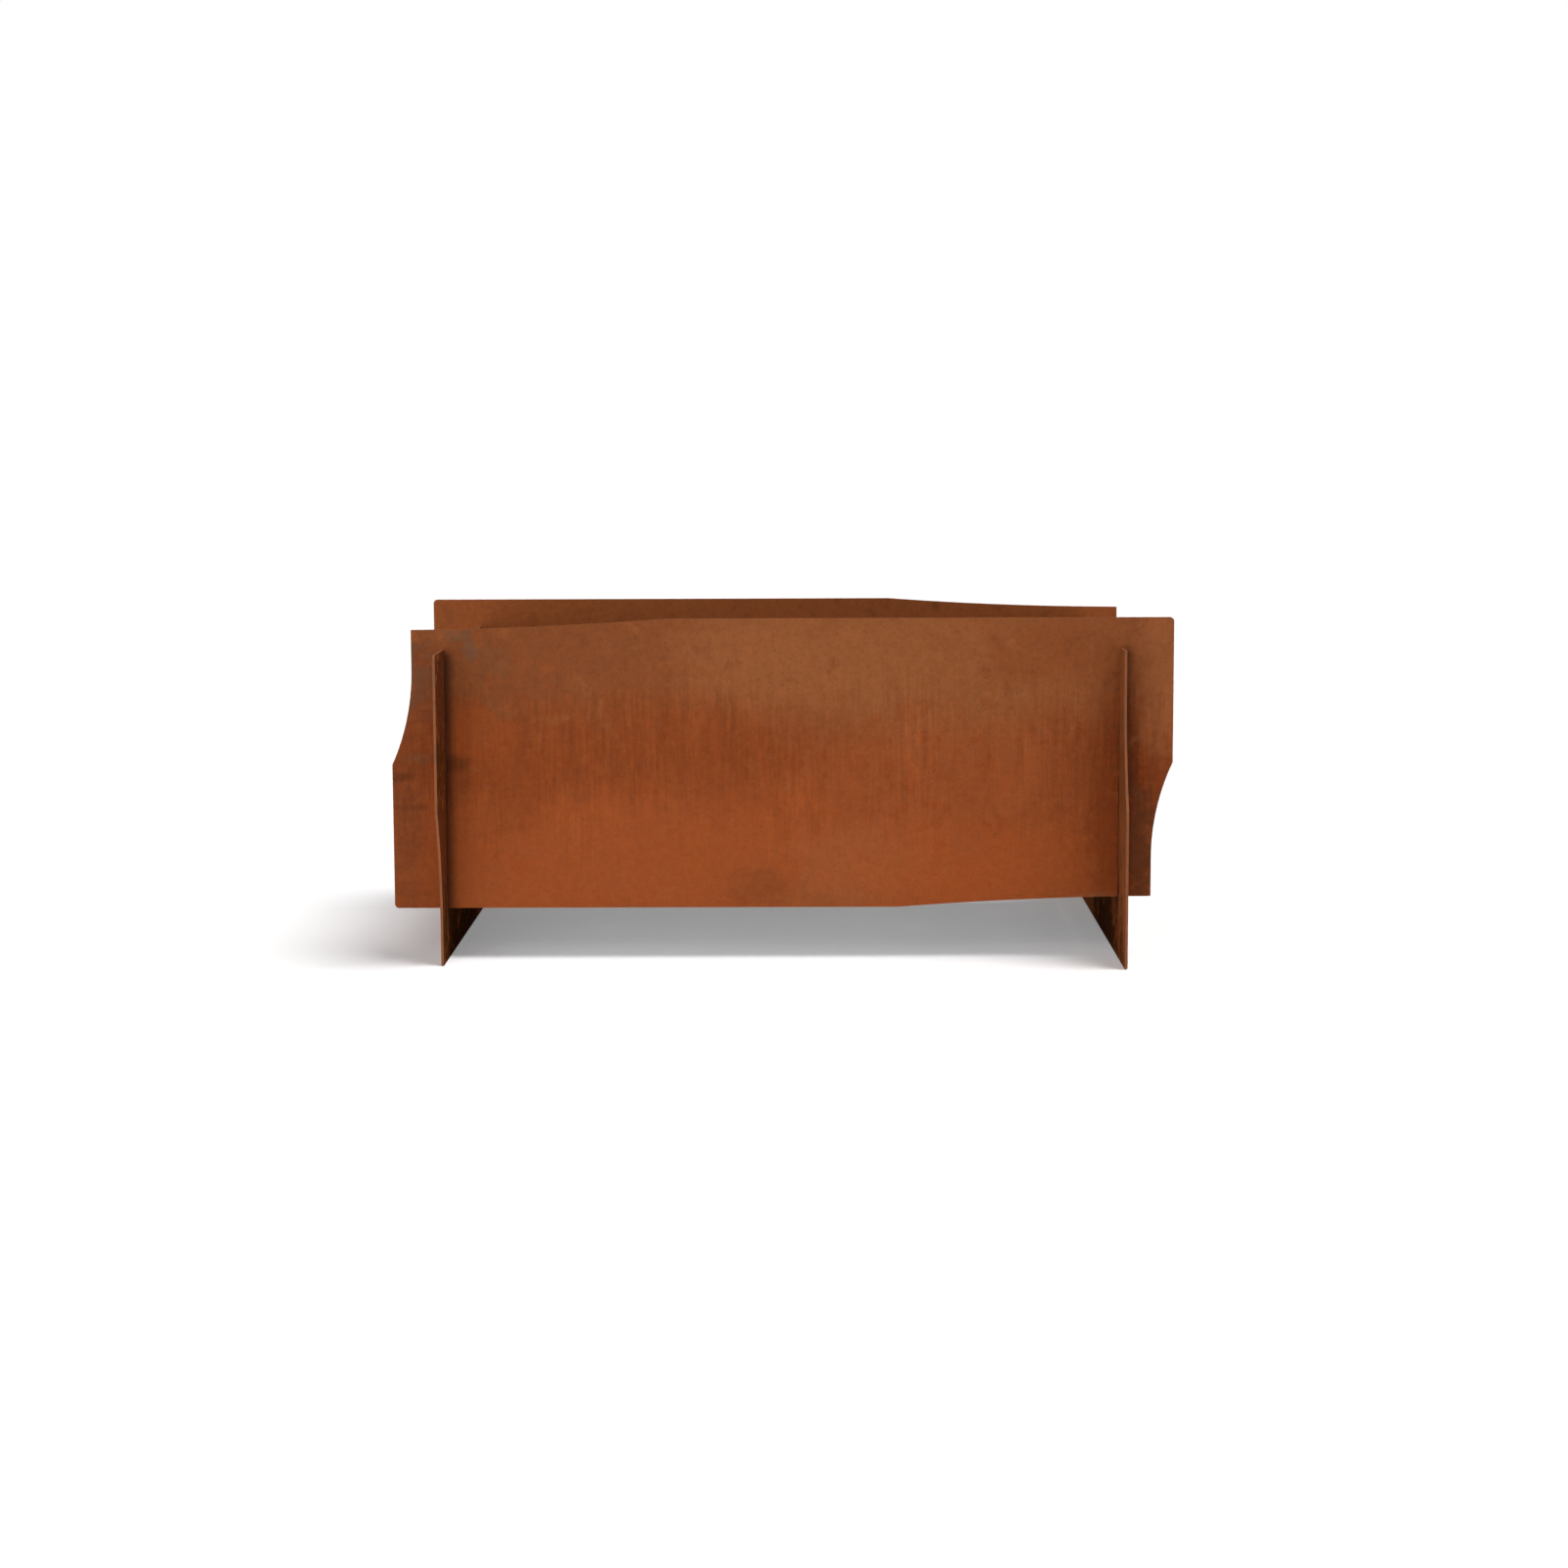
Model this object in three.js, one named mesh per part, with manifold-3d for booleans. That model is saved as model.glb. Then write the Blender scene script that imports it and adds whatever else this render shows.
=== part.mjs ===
// Street planter: four interlocking weathering-steel plates around a lift-out galvanised tub.
// Millimetres, +Z up, +X along the long plates. The origin is on the ground, under the centre.

import * as THREE from 'three';
import { mergeVertices } from 'three/addons/utils/BufferGeometryUtils.js';
import Module from 'manifold-3d';

const wasm = await Module();
wasm.setup();

// ---------------------------------------------------------------- driving dimensions

const PLATE = 6;                 // thickness of all four plates
const GAP = 0.3;                 // air left between pieces that touch
const SLOT = 8;                  // width of the slots that the plates cross in
const CORNER_R = 10;             // rounded corner of a full plate end

const LONG_HALF = 900;           // long plates: half length
const LONG_Y = 407;              // their middle planes stand at +Y and -Y
const LONG_BOTTOM = 120;
const LONG_TOP = 790;
const LONG_NOTCH = 48;           // how far a stepped-back end is shorter
const LONG_DROP = 24;            // how much lower a stepped-back edge ends
const LONG_DROP_START = 267;     // where that long, shallow curve leaves the straight edge

const CROSS_HALF = 575;          // cross plates: half length
const CROSS_X = 780;             // their middle planes stand at +X and -X
const CROSS_TOP = 720;
const CROSS_NOTCH = 70;

const NOTCH_R = 528;             // radius of the curved step on every plate

const STUD_R = 5;                // M10 weld studs
const STUD_LENGTH = 20;
const HOLE_R = 5.5;
const NUT_WIDTH = 17;            // across the flats
const NUT_HEIGHT = 8;

const CLEAT_LEG = 50;            // corner cleats
const ANGLE_WALL = 5;
const CLEAT_BOTTOM = 215;
const CLEAT_TOP = 640;
const CLEAT_STUD_HEIGHTS = [275, 580];

const LEDGE_BOTTOM = 150;        // ledges under the floor bearers
const LEDGE_LEG = 50;
const LEDGE_HALF = 715;
const LEDGE_STUDS = [-670, 0, 670];

const BEARER = 40;               // square tube
const BEARER_WALL = 3;
const BEARER_PLACES = [-560, -187, 187, 560];
const PAD_THICKNESS = 4;
const PAD_WIDTH = 30;
const PAD_HALF = 300;

const TUB_HALF_X = 718;          // outside of the tub's walls
const TUB_HALF_Y = 362;
const TUB_WALL = 3;
const TUB_RIM_TOP = 690;
const TUB_RIM = 30;              // how far the rim is turned out
const TUB_LIP = 14;              // how far the rim's edge is turned down

const DRAIN_X = 373;             // the two drains lie between the bearers
const SPIGOT_R = 27;
const SPIGOT_WALL = 3;
const SPIGOT_LENGTH = 42;
const SPIGOT_FLANGE_R = 42;
const SPIGOT_FLANGE = 3;
const STRAINER_R = 38;
const STRAINER_HEIGHT = 18;

const LUG_Y = 210;               // lifting lugs
const LUG_HEIGHT = 90;
const LUG_THICKNESS = 8;
const LUG_EYE_OUT = 30;          // from the wall to the middle of the eye
const LUG_NOSE_R = 25;
const LUG_HOLE_R = 14;
const LUG_BELOW_RIM = 20;

// worked out from the dimensions above
const LONG_MIDDLE = (LONG_BOTTOM + LONG_TOP) / 2;
const LAP_HEIGHT = (LONG_BOTTOM + CROSS_TOP) / 2;
const LONG_INNER = LONG_Y - PLATE / 2;
const CROSS_INNER = CROSS_X - PLATE / 2;
const STUD_OFFSET = CLEAT_LEG * 0.6;
const BEARER_BOTTOM = LEDGE_BOTTOM + ANGLE_WALL + GAP;
const PAD_BOTTOM = BEARER_BOTTOM + BEARER + GAP;
const TUB_BOTTOM = PAD_BOTTOM + PAD_THICKNESS + GAP;
const TUB_FLOOR = TUB_BOTTOM + TUB_WALL;

// ---------------------------------------------------------------- materials

function steel(color, roughness, metalness) {
  return new THREE.MeshStandardMaterial({ color, roughness, metalness });
}

const weatheringSteel = () => steel(0x85441f, 0.85, 0.1);
const galvanised = () => steel(0xa9adb0, 0.45, 0.85);
const stainless = () => steel(0xc4c6c8, 0.3, 1.0);
const rubber = () => steel(0x1d1d1e, 0.9, 0.0);

// ---------------------------------------------------------------- solids

function toSolid(geometry) {
  const plain = geometry.index ? geometry.toNonIndexed() : geometry;
  plain.deleteAttribute('normal');
  plain.deleteAttribute('uv');
  const merged = mergeVertices(plain, 1e-4);
  const mesh = new wasm.Mesh({
    numProp: 3,
    vertProperties: new Float32Array(merged.attributes.position.array),
    triVerts: new Uint32Array(merged.index.array),
  });
  return new wasm.Manifold(mesh);
}

function toGeometry(solid) {
  const mesh = solid.getMesh();
  const geometry = new THREE.BufferGeometry();
  geometry.setAttribute('position', new THREE.BufferAttribute(mesh.vertProperties, 3));
  geometry.setIndex(new THREE.BufferAttribute(mesh.triVerts, 1));
  geometry.computeVertexNormals();
  return geometry;
}

function box(low, high) {
  const size = high.map((value, i) => value - low[i]);
  const geometry = new THREE.BoxGeometry(...size);
  geometry.translate(...low.map((value, i) => value + size[i] / 2));
  return toSolid(geometry);
}

// A cylinder from one end point to the other, along X, Y or Z.
function rod(from, to, radius, sides) {
  const start = new THREE.Vector3(...from);
  const way = new THREE.Vector3(...to).sub(start);
  const geometry = new THREE.CylinderGeometry(radius, radius, way.length(), sides);
  geometry.translate(0, way.length() / 2, 0);
  const turn = new THREE.Quaternion().setFromUnitVectors(new THREE.Vector3(0, 1, 0), way.clone().normalize());
  geometry.applyQuaternion(turn);
  geometry.translate(start.x, start.y, start.z);
  return toSolid(geometry);
}

// ---------------------------------------------------------------- plates

// Points on an arc that leaves an edge at an angle and turns parallel to it again after a length
// of runLength, when it has moved away from the edge by drop. Only its first part may be shown.
function steppedCurve(start, along, away, runLength, drop, steps, shown = runLength) {
  const radius = (runLength * runLength + drop * drop) / (2 * drop);
  const points = [];
  for (let i = 1; i <= steps; i += 1) {
    const run = (shown * i) / steps;
    const left = runLength - run;
    const fall = drop - (radius - Math.sqrt(radius * radius - left * left));
    points.push([start[0] + along[0] * run + away[0] * fall, start[1] + along[1] * run + away[1] * fall]);
  }
  return points;
}

// Points on an arc about centre.
function roundedCorner(centre, radius, fromAngle, toAngle, steps) {
  const points = [];
  for (let i = 0; i <= steps; i += 1) {
    const angle = fromAngle + ((toAngle - fromAngle) * i) / steps;
    points.push([centre[0] + radius * Math.cos(angle), centre[1] + radius * Math.sin(angle)]);
  }
  return points;
}

function notchHeight(notch) {
  return Math.sqrt(2 * NOTCH_R * notch - notch * notch);
}

// One half of a long plate's outline, about its own centre, from the right end's step to the left
// end's step, over the top: a full right end, then a stepped-back left end.
function longPlateHalf() {
  const halfHeight = (LONG_TOP - LONG_BOTTOM) / 2;
  const points = [[LONG_HALF, 0]];
  const corner = [LONG_HALF - CORNER_R, halfHeight - CORNER_R];
  points.push(...roundedCorner(corner, CORNER_R, 0, Math.PI / 2, 6));
  points.push([-LONG_DROP_START, halfHeight]);
  const edgeStart = [-LONG_DROP_START, halfHeight];
  const edgeRun = LONG_HALF - LONG_DROP_START;
  const edgeShown = edgeRun - LONG_NOTCH;
  points.push(...steppedCurve(edgeStart, [-1, 0], [0, -1], edgeRun, LONG_DROP, 16, edgeShown));
  const rise = notchHeight(LONG_NOTCH);
  points.push(...steppedCurve([-LONG_HALF, 0], [0, 1], [1, 0], rise, LONG_NOTCH, 22).reverse());
  return points;
}

// The same for a cross plate: straight top, full right end and stepped-back left end.
function crossPlateHalf() {
  const halfHeight = CROSS_TOP / 2;
  const points = [[CROSS_HALF, 0]];
  const corner = [CROSS_HALF - CORNER_R, halfHeight - CORNER_R];
  points.push(...roundedCorner(corner, CORNER_R, 0, Math.PI / 2, 6));
  points.push([CROSS_NOTCH - CROSS_HALF, halfHeight]);
  const rise = notchHeight(CROSS_NOTCH);
  points.push(...steppedCurve([-CROSS_HALF, 0], [0, 1], [1, 0], rise, CROSS_NOTCH, 22).reverse());
  return points;
}

// A whole outline is a half and the same half turned by half a turn.
function wholePlate(half) {
  const turned = half.map(([x, y]) => [-x, -y]);
  const outline = [...half, ...turned].map(([x, y]) => new THREE.Vector2(x, y));
  const options = { depth: PLATE, bevelEnabled: false };
  const geometry = new THREE.ExtrudeGeometry(new THREE.Shape(outline), options);
  geometry.translate(0, 0, -PLATE / 2);
  return geometry;
}

function cleatStuds() {
  const places = [];
  for (const side of [-1, 1]) {
    for (const height of CLEAT_STUD_HEIGHTS) {
      places.push([side, height]);
    }
  }
  return places;
}

// The front plate stands at -Y, its inner face looks towards +Y.
function frontPlate() {
  const geometry = wholePlate(longPlateHalf());
  geometry.rotateX(Math.PI / 2);
  geometry.translate(0, -LONG_Y, LONG_MIDDLE);
  let solid = toSolid(geometry);
  for (const side of [-1, 1]) {
    const low = [side * CROSS_X - SLOT / 2, -LONG_Y - PLATE, LONG_BOTTOM - 1];
    const high = [side * CROSS_X + SLOT / 2, -LONG_Y + PLATE, LAP_HEIGHT];
    solid = solid.subtract(box(low, high));
  }
  for (const [side, height] of cleatStuds()) {
    solid = solid.add(longPlateStud(side * (CROSS_INNER - STUD_OFFSET), height));
  }
  for (const x of LEDGE_STUDS) {
    solid = solid.add(longPlateStud(x, LEDGE_BOTTOM + STUD_OFFSET));
  }
  return solid;
}

function longPlateStud(x, z) {
  return rod([x, -LONG_INNER - 1, z], [x, -LONG_INNER + STUD_LENGTH, z], STUD_R, 12);
}

// The left cross plate stands at -X, its inner face looks towards +X.
function leftCrossPlate() {
  const geometry = wholePlate(crossPlateHalf());
  geometry.rotateX(Math.PI / 2);
  geometry.rotateZ(-Math.PI / 2);
  geometry.translate(-CROSS_X, 0, CROSS_TOP / 2);
  let solid = toSolid(geometry);
  for (const side of [-1, 1]) {
    const low = [-CROSS_X - PLATE, side * LONG_Y - SLOT / 2, LAP_HEIGHT - GAP];
    const high = [-CROSS_X + PLATE, side * LONG_Y + SLOT / 2, CROSS_TOP + 1];
    solid = solid.subtract(box(low, high));
  }
  for (const [side, height] of cleatStuds()) {
    const y = side * (LONG_INNER - STUD_OFFSET);
    const from = [-CROSS_INNER - 1, y, height];
    solid = solid.add(rod(from, [-CROSS_INNER + STUD_LENGTH, y, height], STUD_R, 12));
  }
  return solid;
}

// ---------------------------------------------------------------- pieces that hold the plates

// Angle steel from its outline, laid in XY with its outer corner at the origin.
function angleSteel(leg, wall, length) {
  const outline = [[0, 0], [leg, 0], [leg, wall], [wall, wall], [wall, leg], [0, leg]];
  const shape = new THREE.Shape(outline.map(([x, y]) => new THREE.Vector2(x, y)));
  return new THREE.ExtrudeGeometry(shape, { depth: length, bevelEnabled: false });
}

// The cleat in the corner at -X, -Y. Its legs lie on the two plates' inner faces.
function cornerCleat() {
  const geometry = angleSteel(CLEAT_LEG, ANGLE_WALL, CLEAT_TOP - CLEAT_BOTTOM);
  geometry.translate(-CROSS_INNER + GAP, -LONG_INNER + GAP, CLEAT_BOTTOM);
  let solid = toSolid(geometry);
  for (const height of CLEAT_STUD_HEIGHTS) {
    const x = -CROSS_INNER + STUD_OFFSET;
    const y = -LONG_INNER + STUD_OFFSET;
    solid = solid.subtract(rod([x, -LONG_INNER - 1, height], [x, -LONG_INNER + 10, height], HOLE_R, 16));
    solid = solid.subtract(rod([-CROSS_INNER - 1, y, height], [-CROSS_INNER + 10, y, height], HOLE_R, 16));
  }
  return solid;
}

// The front ledge: one leg up the plate, one leg inwards at the bottom.
function frontLedge() {
  const geometry = angleSteel(LEDGE_LEG, ANGLE_WALL, 2 * LEDGE_HALF);
  geometry.rotateX(Math.PI / 2);
  geometry.rotateZ(Math.PI / 2);
  geometry.translate(-LEDGE_HALF, -LONG_INNER + GAP, LEDGE_BOTTOM);
  let solid = toSolid(geometry);
  for (const x of LEDGE_STUDS) {
    const z = LEDGE_BOTTOM + STUD_OFFSET;
    solid = solid.subtract(rod([x, -LONG_INNER - 1, z], [x, -LONG_INNER + 10, z], HOLE_R, 16));
  }
  return solid;
}

function floorBearer(x) {
  const half = LONG_INNER - ANGLE_WALL - 3 * GAP - 2;
  const outer = box([x - BEARER / 2, -half, BEARER_BOTTOM], [x + BEARER / 2, half, BEARER_BOTTOM + BEARER]);
  const reach = BEARER / 2 - BEARER_WALL;
  const low = BEARER_BOTTOM + BEARER_WALL;
  const inner = box([x - reach, -half - 1, low], [x + reach, half + 1, low + 2 * reach]);
  return outer.subtract(inner);
}

function bearerPad(x) {
  const low = [x - PAD_WIDTH / 2, -PAD_HALF, PAD_BOTTOM];
  const high = [x + PAD_WIDTH / 2, PAD_HALF, PAD_BOTTOM + PAD_THICKNESS];
  return box(low, high);
}

// A hexagon nut whose seat is at the origin and which stands along +Z.
function nut() {
  const sides = 6;
  const body = rod([0, 0, 0], [0, 0, NUT_HEIGHT], NUT_WIDTH / Math.sqrt(3), sides);
  return body.subtract(rod([0, 0, -1], [0, 0, NUT_HEIGHT + 1], STUD_R + GAP, 12));
}

// ---------------------------------------------------------------- tub

// A block centred on the vertical axis, from one height to another.
function centredBlock(halfX, halfY, bottom, top) {
  return box([-halfX, -halfY, bottom], [halfX, halfY, top]);
}

// The tub is one folded and welded sheet: floor, walls, and a rim turned out and down.
function plantingTub() {
  const w = TUB_WALL;
  const rimX = TUB_HALF_X + TUB_RIM;
  const rimY = TUB_HALF_Y + TUB_RIM;
  const lipBottom = TUB_RIM_TOP - TUB_LIP;
  const walls = centredBlock(TUB_HALF_X, TUB_HALF_Y, TUB_BOTTOM, TUB_RIM_TOP);
  const rim = centredBlock(rimX, rimY, lipBottom, TUB_RIM_TOP);
  const underRim = centredBlock(rimX - w, rimY - w, lipBottom - 1, TUB_RIM_TOP - w);
  const inside = centredBlock(TUB_HALF_X - w, TUB_HALF_Y - w, TUB_FLOOR, TUB_RIM_TOP + 1);
  let solid = rim.subtract(underRim).add(walls).subtract(inside);
  for (const side of [-1, 1]) {
    const x = side * DRAIN_X;
    solid = solid.subtract(rod([x, 0, TUB_BOTTOM - 1], [x, 0, TUB_FLOOR + 1], SPIGOT_R + GAP, 24));
  }
  return solid;
}

// A flanged pipe through the tub's floor. The flange lies on the floor.
function drainSpigot() {
  const flangeBottom = TUB_FLOOR + GAP;
  const bore = SPIGOT_R - SPIGOT_WALL;
  const pipeBottom = TUB_FLOOR - SPIGOT_LENGTH;
  const profile = [
    [bore, pipeBottom],
    [SPIGOT_R, pipeBottom],
    [SPIGOT_R, flangeBottom],
    [SPIGOT_FLANGE_R, flangeBottom],
    [SPIGOT_FLANGE_R, flangeBottom + SPIGOT_FLANGE],
    [bore, flangeBottom + SPIGOT_FLANGE],
    [bore, pipeBottom],
  ];
  const points = profile.map(([r, z]) => new THREE.Vector2(r, z));
  const geometry = new THREE.LatheGeometry(points, 24);
  geometry.rotateX(Math.PI / 2);
  return toSolid(geometry);
}

// A low perforated cap that keeps soil out of the drain.
function drainStrainer() {
  const bottom = TUB_FLOOR + GAP + SPIGOT_FLANGE + GAP;
  const top = bottom + STRAINER_HEIGHT;
  const wall = 3;
  const cap = rod([0, 0, bottom], [0, 0, top], STRAINER_R, 24);
  let solid = cap.subtract(rod([0, 0, bottom - 1], [0, 0, top - wall], STRAINER_R - wall, 24));
  const holes = 6;
  for (let i = 0; i < holes; i += 1) {
    const angle = (2 * Math.PI * i) / holes;
    const x = STRAINER_R * 0.6 * Math.cos(angle);
    const y = STRAINER_R * 0.6 * Math.sin(angle);
    solid = solid.subtract(rod([x, y, top - wall - 1], [x, y, top + 1], 6, 8));
  }
  return solid;
}

// A lug with a round eye that stands out from the tub's end wall at -X, edge on to it.
function liftingLug() {
  const middle = LUG_HEIGHT / 2;
  const outline = [[0, LUG_HEIGHT], [0, 0]];
  outline.push(...roundedCorner([LUG_EYE_OUT, middle], LUG_NOSE_R, -Math.PI / 3, Math.PI / 3, 10));
  const shape = new THREE.Shape(outline.map(([x, y]) => new THREE.Vector2(x, y)));
  const geometry = new THREE.ExtrudeGeometry(shape, { depth: LUG_THICKNESS, bevelEnabled: false });
  geometry.translate(0, 0, -LUG_THICKNESS / 2);
  const eyeEnd = [LUG_EYE_OUT, middle, LUG_THICKNESS];
  const eye = rod([LUG_EYE_OUT, middle, -LUG_THICKNESS], eyeEnd, LUG_HOLE_R, 16);
  const upright = toGeometry(toSolid(geometry).subtract(eye));
  upright.rotateX(Math.PI / 2);
  upright.translate(-TUB_HALF_X + TUB_WALL + GAP, 0, TUB_RIM_TOP - LUG_BELOW_RIM - LUG_HEIGHT);
  return toSolid(upright);
}

// ---------------------------------------------------------------- assembly

const planter = new THREE.Group();

function addTo(parent, name, solid, material) {
  const mesh = new THREE.Mesh(toGeometry(solid), material);
  mesh.name = name;
  parent.add(mesh);
  return mesh;
}

function addPlates() {
  addTo(planter, 'front_plate', frontPlate(), weatheringSteel());
  addTo(planter, 'rear_plate', frontPlate(), weatheringSteel()).rotation.z = Math.PI;
  addTo(planter, 'left_cross_plate', leftCrossPlate(), weatheringSteel());
  addTo(planter, 'right_cross_plate', leftCrossPlate(), weatheringSteel()).rotation.z = Math.PI;
}

// Nuts on the studs of a long plate at +Y or -Y, and of a cross plate at +X or -X.
function addLongPlateNut(name, x, sideY, z) {
  const mesh = addTo(planter, name, nut(), stainless());
  mesh.rotation.x = (sideY * Math.PI) / 2;
  mesh.position.set(x, sideY * (LONG_INNER - ANGLE_WALL - 2 * GAP), z);
}

function addCrossPlateNut(name, sideX, y, z) {
  const mesh = addTo(planter, name, nut(), stainless());
  mesh.rotation.y = (-sideX * Math.PI) / 2;
  mesh.position.set(sideX * (CROSS_INNER - ANGLE_WALL - 2 * GAP), y, z);
}

function mirroredTo(solid, sideX, sideY) {
  const alongX = sideX > 0 ? solid.mirror([1, 0, 0]) : solid;
  return sideY > 0 ? alongX.mirror([0, 1, 0]) : alongX;
}

function addCorner(name, sideX, sideY) {
  addTo(planter, `${name}_cleat`, mirroredTo(cornerCleat(), sideX, sideY), galvanised());
  const x = sideX * (CROSS_INNER - STUD_OFFSET);
  const y = sideY * (LONG_INNER - STUD_OFFSET);
  CLEAT_STUD_HEIGHTS.forEach((height, level) => {
    const place = level === 0 ? 'lower' : 'upper';
    addLongPlateNut(`${name}_${place}_long_nut`, x, sideY, height);
    addCrossPlateNut(`${name}_${place}_cross_nut`, sideX, y, height);
  });
}

function addLedge(name, sideY) {
  addTo(planter, `${name}_ledge`, mirroredTo(frontLedge(), -1, sideY), galvanised());
  LEDGE_STUDS.forEach((x, i) => {
    addLongPlateNut(`${name}_ledge_nut_${i + 1}`, x, sideY, LEDGE_BOTTOM + STUD_OFFSET);
  });
}

function addBearers() {
  BEARER_PLACES.forEach((x, i) => {
    addTo(planter, `floor_bearer_${i + 1}`, floorBearer(x), galvanised());
    addTo(planter, `bearer_pad_${i + 1}`, bearerPad(x), rubber());
  });
}

function addTub() {
  addTo(planter, 'planting_tub', plantingTub(), galvanised());
  for (const [side, sideX] of [['left', -1], ['right', 1]]) {
    const x = sideX * DRAIN_X;
    addTo(planter, `${side}_drain_spigot`, drainSpigot(), stainless()).position.x = x;
    addTo(planter, `${side}_drain_strainer`, drainStrainer(), stainless()).position.x = x;
    for (const [end, sideY] of [['front', -1], ['rear', 1]]) {
      const lug = mirroredTo(liftingLug(), sideX, -1);
      addTo(planter, `${end}_${side}_lifting_lug`, lug, galvanised()).position.y = sideY * LUG_Y;
    }
  }
}

addPlates();
addCorner('front_left', -1, -1);
addCorner('front_right', 1, -1);
addCorner('rear_left', -1, 1);
addCorner('rear_right', 1, 1);
addLedge('front', -1);
addLedge('rear', 1);
addBearers();
addTub();

export default planter;
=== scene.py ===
import math

import bmesh
import bpy
from mathutils import Matrix, Vector


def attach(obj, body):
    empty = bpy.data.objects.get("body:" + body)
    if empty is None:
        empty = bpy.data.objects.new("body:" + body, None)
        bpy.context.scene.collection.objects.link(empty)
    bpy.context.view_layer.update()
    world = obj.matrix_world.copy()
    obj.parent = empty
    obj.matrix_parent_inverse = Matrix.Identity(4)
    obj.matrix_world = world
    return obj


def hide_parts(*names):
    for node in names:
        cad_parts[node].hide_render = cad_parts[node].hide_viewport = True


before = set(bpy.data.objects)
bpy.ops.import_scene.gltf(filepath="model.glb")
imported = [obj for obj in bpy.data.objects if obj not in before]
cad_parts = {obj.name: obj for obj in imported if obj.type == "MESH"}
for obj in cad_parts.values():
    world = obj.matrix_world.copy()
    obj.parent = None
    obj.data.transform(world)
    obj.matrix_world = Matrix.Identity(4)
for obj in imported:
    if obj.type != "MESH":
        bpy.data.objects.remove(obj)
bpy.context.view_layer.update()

MM = 0.001

# ---------------------------------------------------------------- dimensions of the part

PLATE = 6 * MM
SLOT = 8 * MM
SLOT_CORNER_R = 2 * MM
CORNER_R = 10 * MM
NOTCH_R = 528 * MM

LONG_HALF = 900 * MM
LONG_Y = 407 * MM
LONG_BOTTOM = 120 * MM
LONG_TOP = 790 * MM
LONG_NOTCH = 48 * MM
LONG_DROP = 24 * MM
LONG_DROP_START = 267 * MM

CROSS_HALF = 575 * MM
CROSS_X = 780 * MM
CROSS_TOP = 720 * MM
CROSS_NOTCH = 70 * MM

STUD_R = 5 * MM
STUD_LENGTH = 20 * MM
STUD_OFFSET = 30 * MM
CLEAT_STUD_HEIGHTS = (275 * MM, 580 * MM)
LEDGE_STUD_HEIGHT = 180 * MM
LEDGE_STUDS = (-670 * MM, 0, 670 * MM)

GAP = 0.3 * MM
CLEAT_LEG = 50 * MM
ANGLE_WALL = 5 * MM
CLEAT_BOTTOM = 215 * MM
CLEAT_TOP = 640 * MM
HOLE_R = 5.5 * MM
NUT_FLAT = 8.5 * MM
NUT_HEIGHT = 8 * MM
THREAD_PITCH = 1.5 * MM
THREAD_DEPTH = 0.8 * MM

LEDGE_BOTTOM = 150 * MM
LEDGE_LEG = 50 * MM
LEDGE_HALF = 715 * MM

BEARER = 40 * MM
BEARER_WALL = 3 * MM
BEARER_HALF = 396.1 * MM
BEARER_BOTTOM = 155.3 * MM
BEARER_PLACES = (-560 * MM, -187 * MM, 187 * MM, 560 * MM)
PAD_BOTTOM = 195.6 * MM
PAD_THICKNESS = 4 * MM
PAD_WIDTH = 30 * MM
PAD_HALF = 300 * MM
PAD_GROOVES = 5
GROOVE_DEPTH = 0.9 * MM
GROOVE_HALF = 0.9 * MM
GROOVE_FLOOR_HALF = 0.5 * MM

TUB_HALF_X = 718 * MM
TUB_HALF_Y = 362 * MM
TUB_WALL = 3 * MM
TUB_BOTTOM = 199.9 * MM
TUB_RIM_TOP = 690 * MM
TUB_RIM = 30 * MM
TUB_LIP = 14 * MM
TUB_BEND = 3 * MM

DRAIN_X = 373 * MM
SPIGOT_R = 27 * MM
SPIGOT_WALL = 3 * MM
SPIGOT_BOTTOM = 160.9 * MM
FLANGE_R = 42 * MM
FLANGE_BOTTOM = 203.2 * MM
FLANGE_THICKNESS = 3 * MM
STRAINER_R = 38 * MM
STRAINER_BOTTOM = 206.5 * MM
STRAINER_HEIGHT = 18 * MM
STRAINER_WALL = 3 * MM
STRAINER_HUB_R = 2 * MM
STRAINER_HOLES = 6
STRAINER_HOLE_R = 6 * MM
STRAINER_HOLE_RING = 0.6

LUG_Y = 210 * MM
LUG_BOTTOM = 580 * MM
LUG_HEIGHT = 90 * MM
LUG_THICKNESS = 8 * MM
LUG_EYE_OUT = 30 * MM
LUG_NOSE_R = 25 * MM
LUG_HOLE_R = 14 * MM

LAP_HEIGHT = (LONG_BOTTOM + CROSS_TOP) / 2
LONG_MIDDLE = (LONG_BOTTOM + LONG_TOP) / 2
LONG_INNER = LONG_Y - PLATE / 2
CROSS_INNER = CROSS_X - PLATE / 2
CROSS_OUTER = CROSS_X + PLATE / 2

# How far a drill reaches, how many sides round things have, and the finest detail left by a cut.
DRILL_LENGTH = 20 * MM
STRAINER_DRILL_LENGTH = 12 * MM
LUG_DRILL_LENGTH = 30 * MM
DRILL_SIDES = 40
ROUND_STEPS = 64
MERGE_WITHIN = 0.02 * MM
DISSOLVE_UNDER = 0.01 * MM

# Weld beads: the ripples' pitch and depth, and the spacing and number of points.
BEAD_STEP = 0.9 * MM
BEAD_SIDES = 10
RIPPLE_PITCH = 3.4 * MM
RIPPLE_DEPTH = 0.14

# ---------------------------------------------------------------- camera, stage and lights

CAMERA_PLACE = Vector((0.0588, -7.2461, 1.2185))
CAMERA_PITCH = math.radians(-6.765)
CAMERA_YAW = math.radians(0.458)
CAMERA_ROLL = math.radians(-0.223)
CAMERA_LENS = 68.48
SENSOR = 36.0
FAR_CLIP = 200


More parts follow.
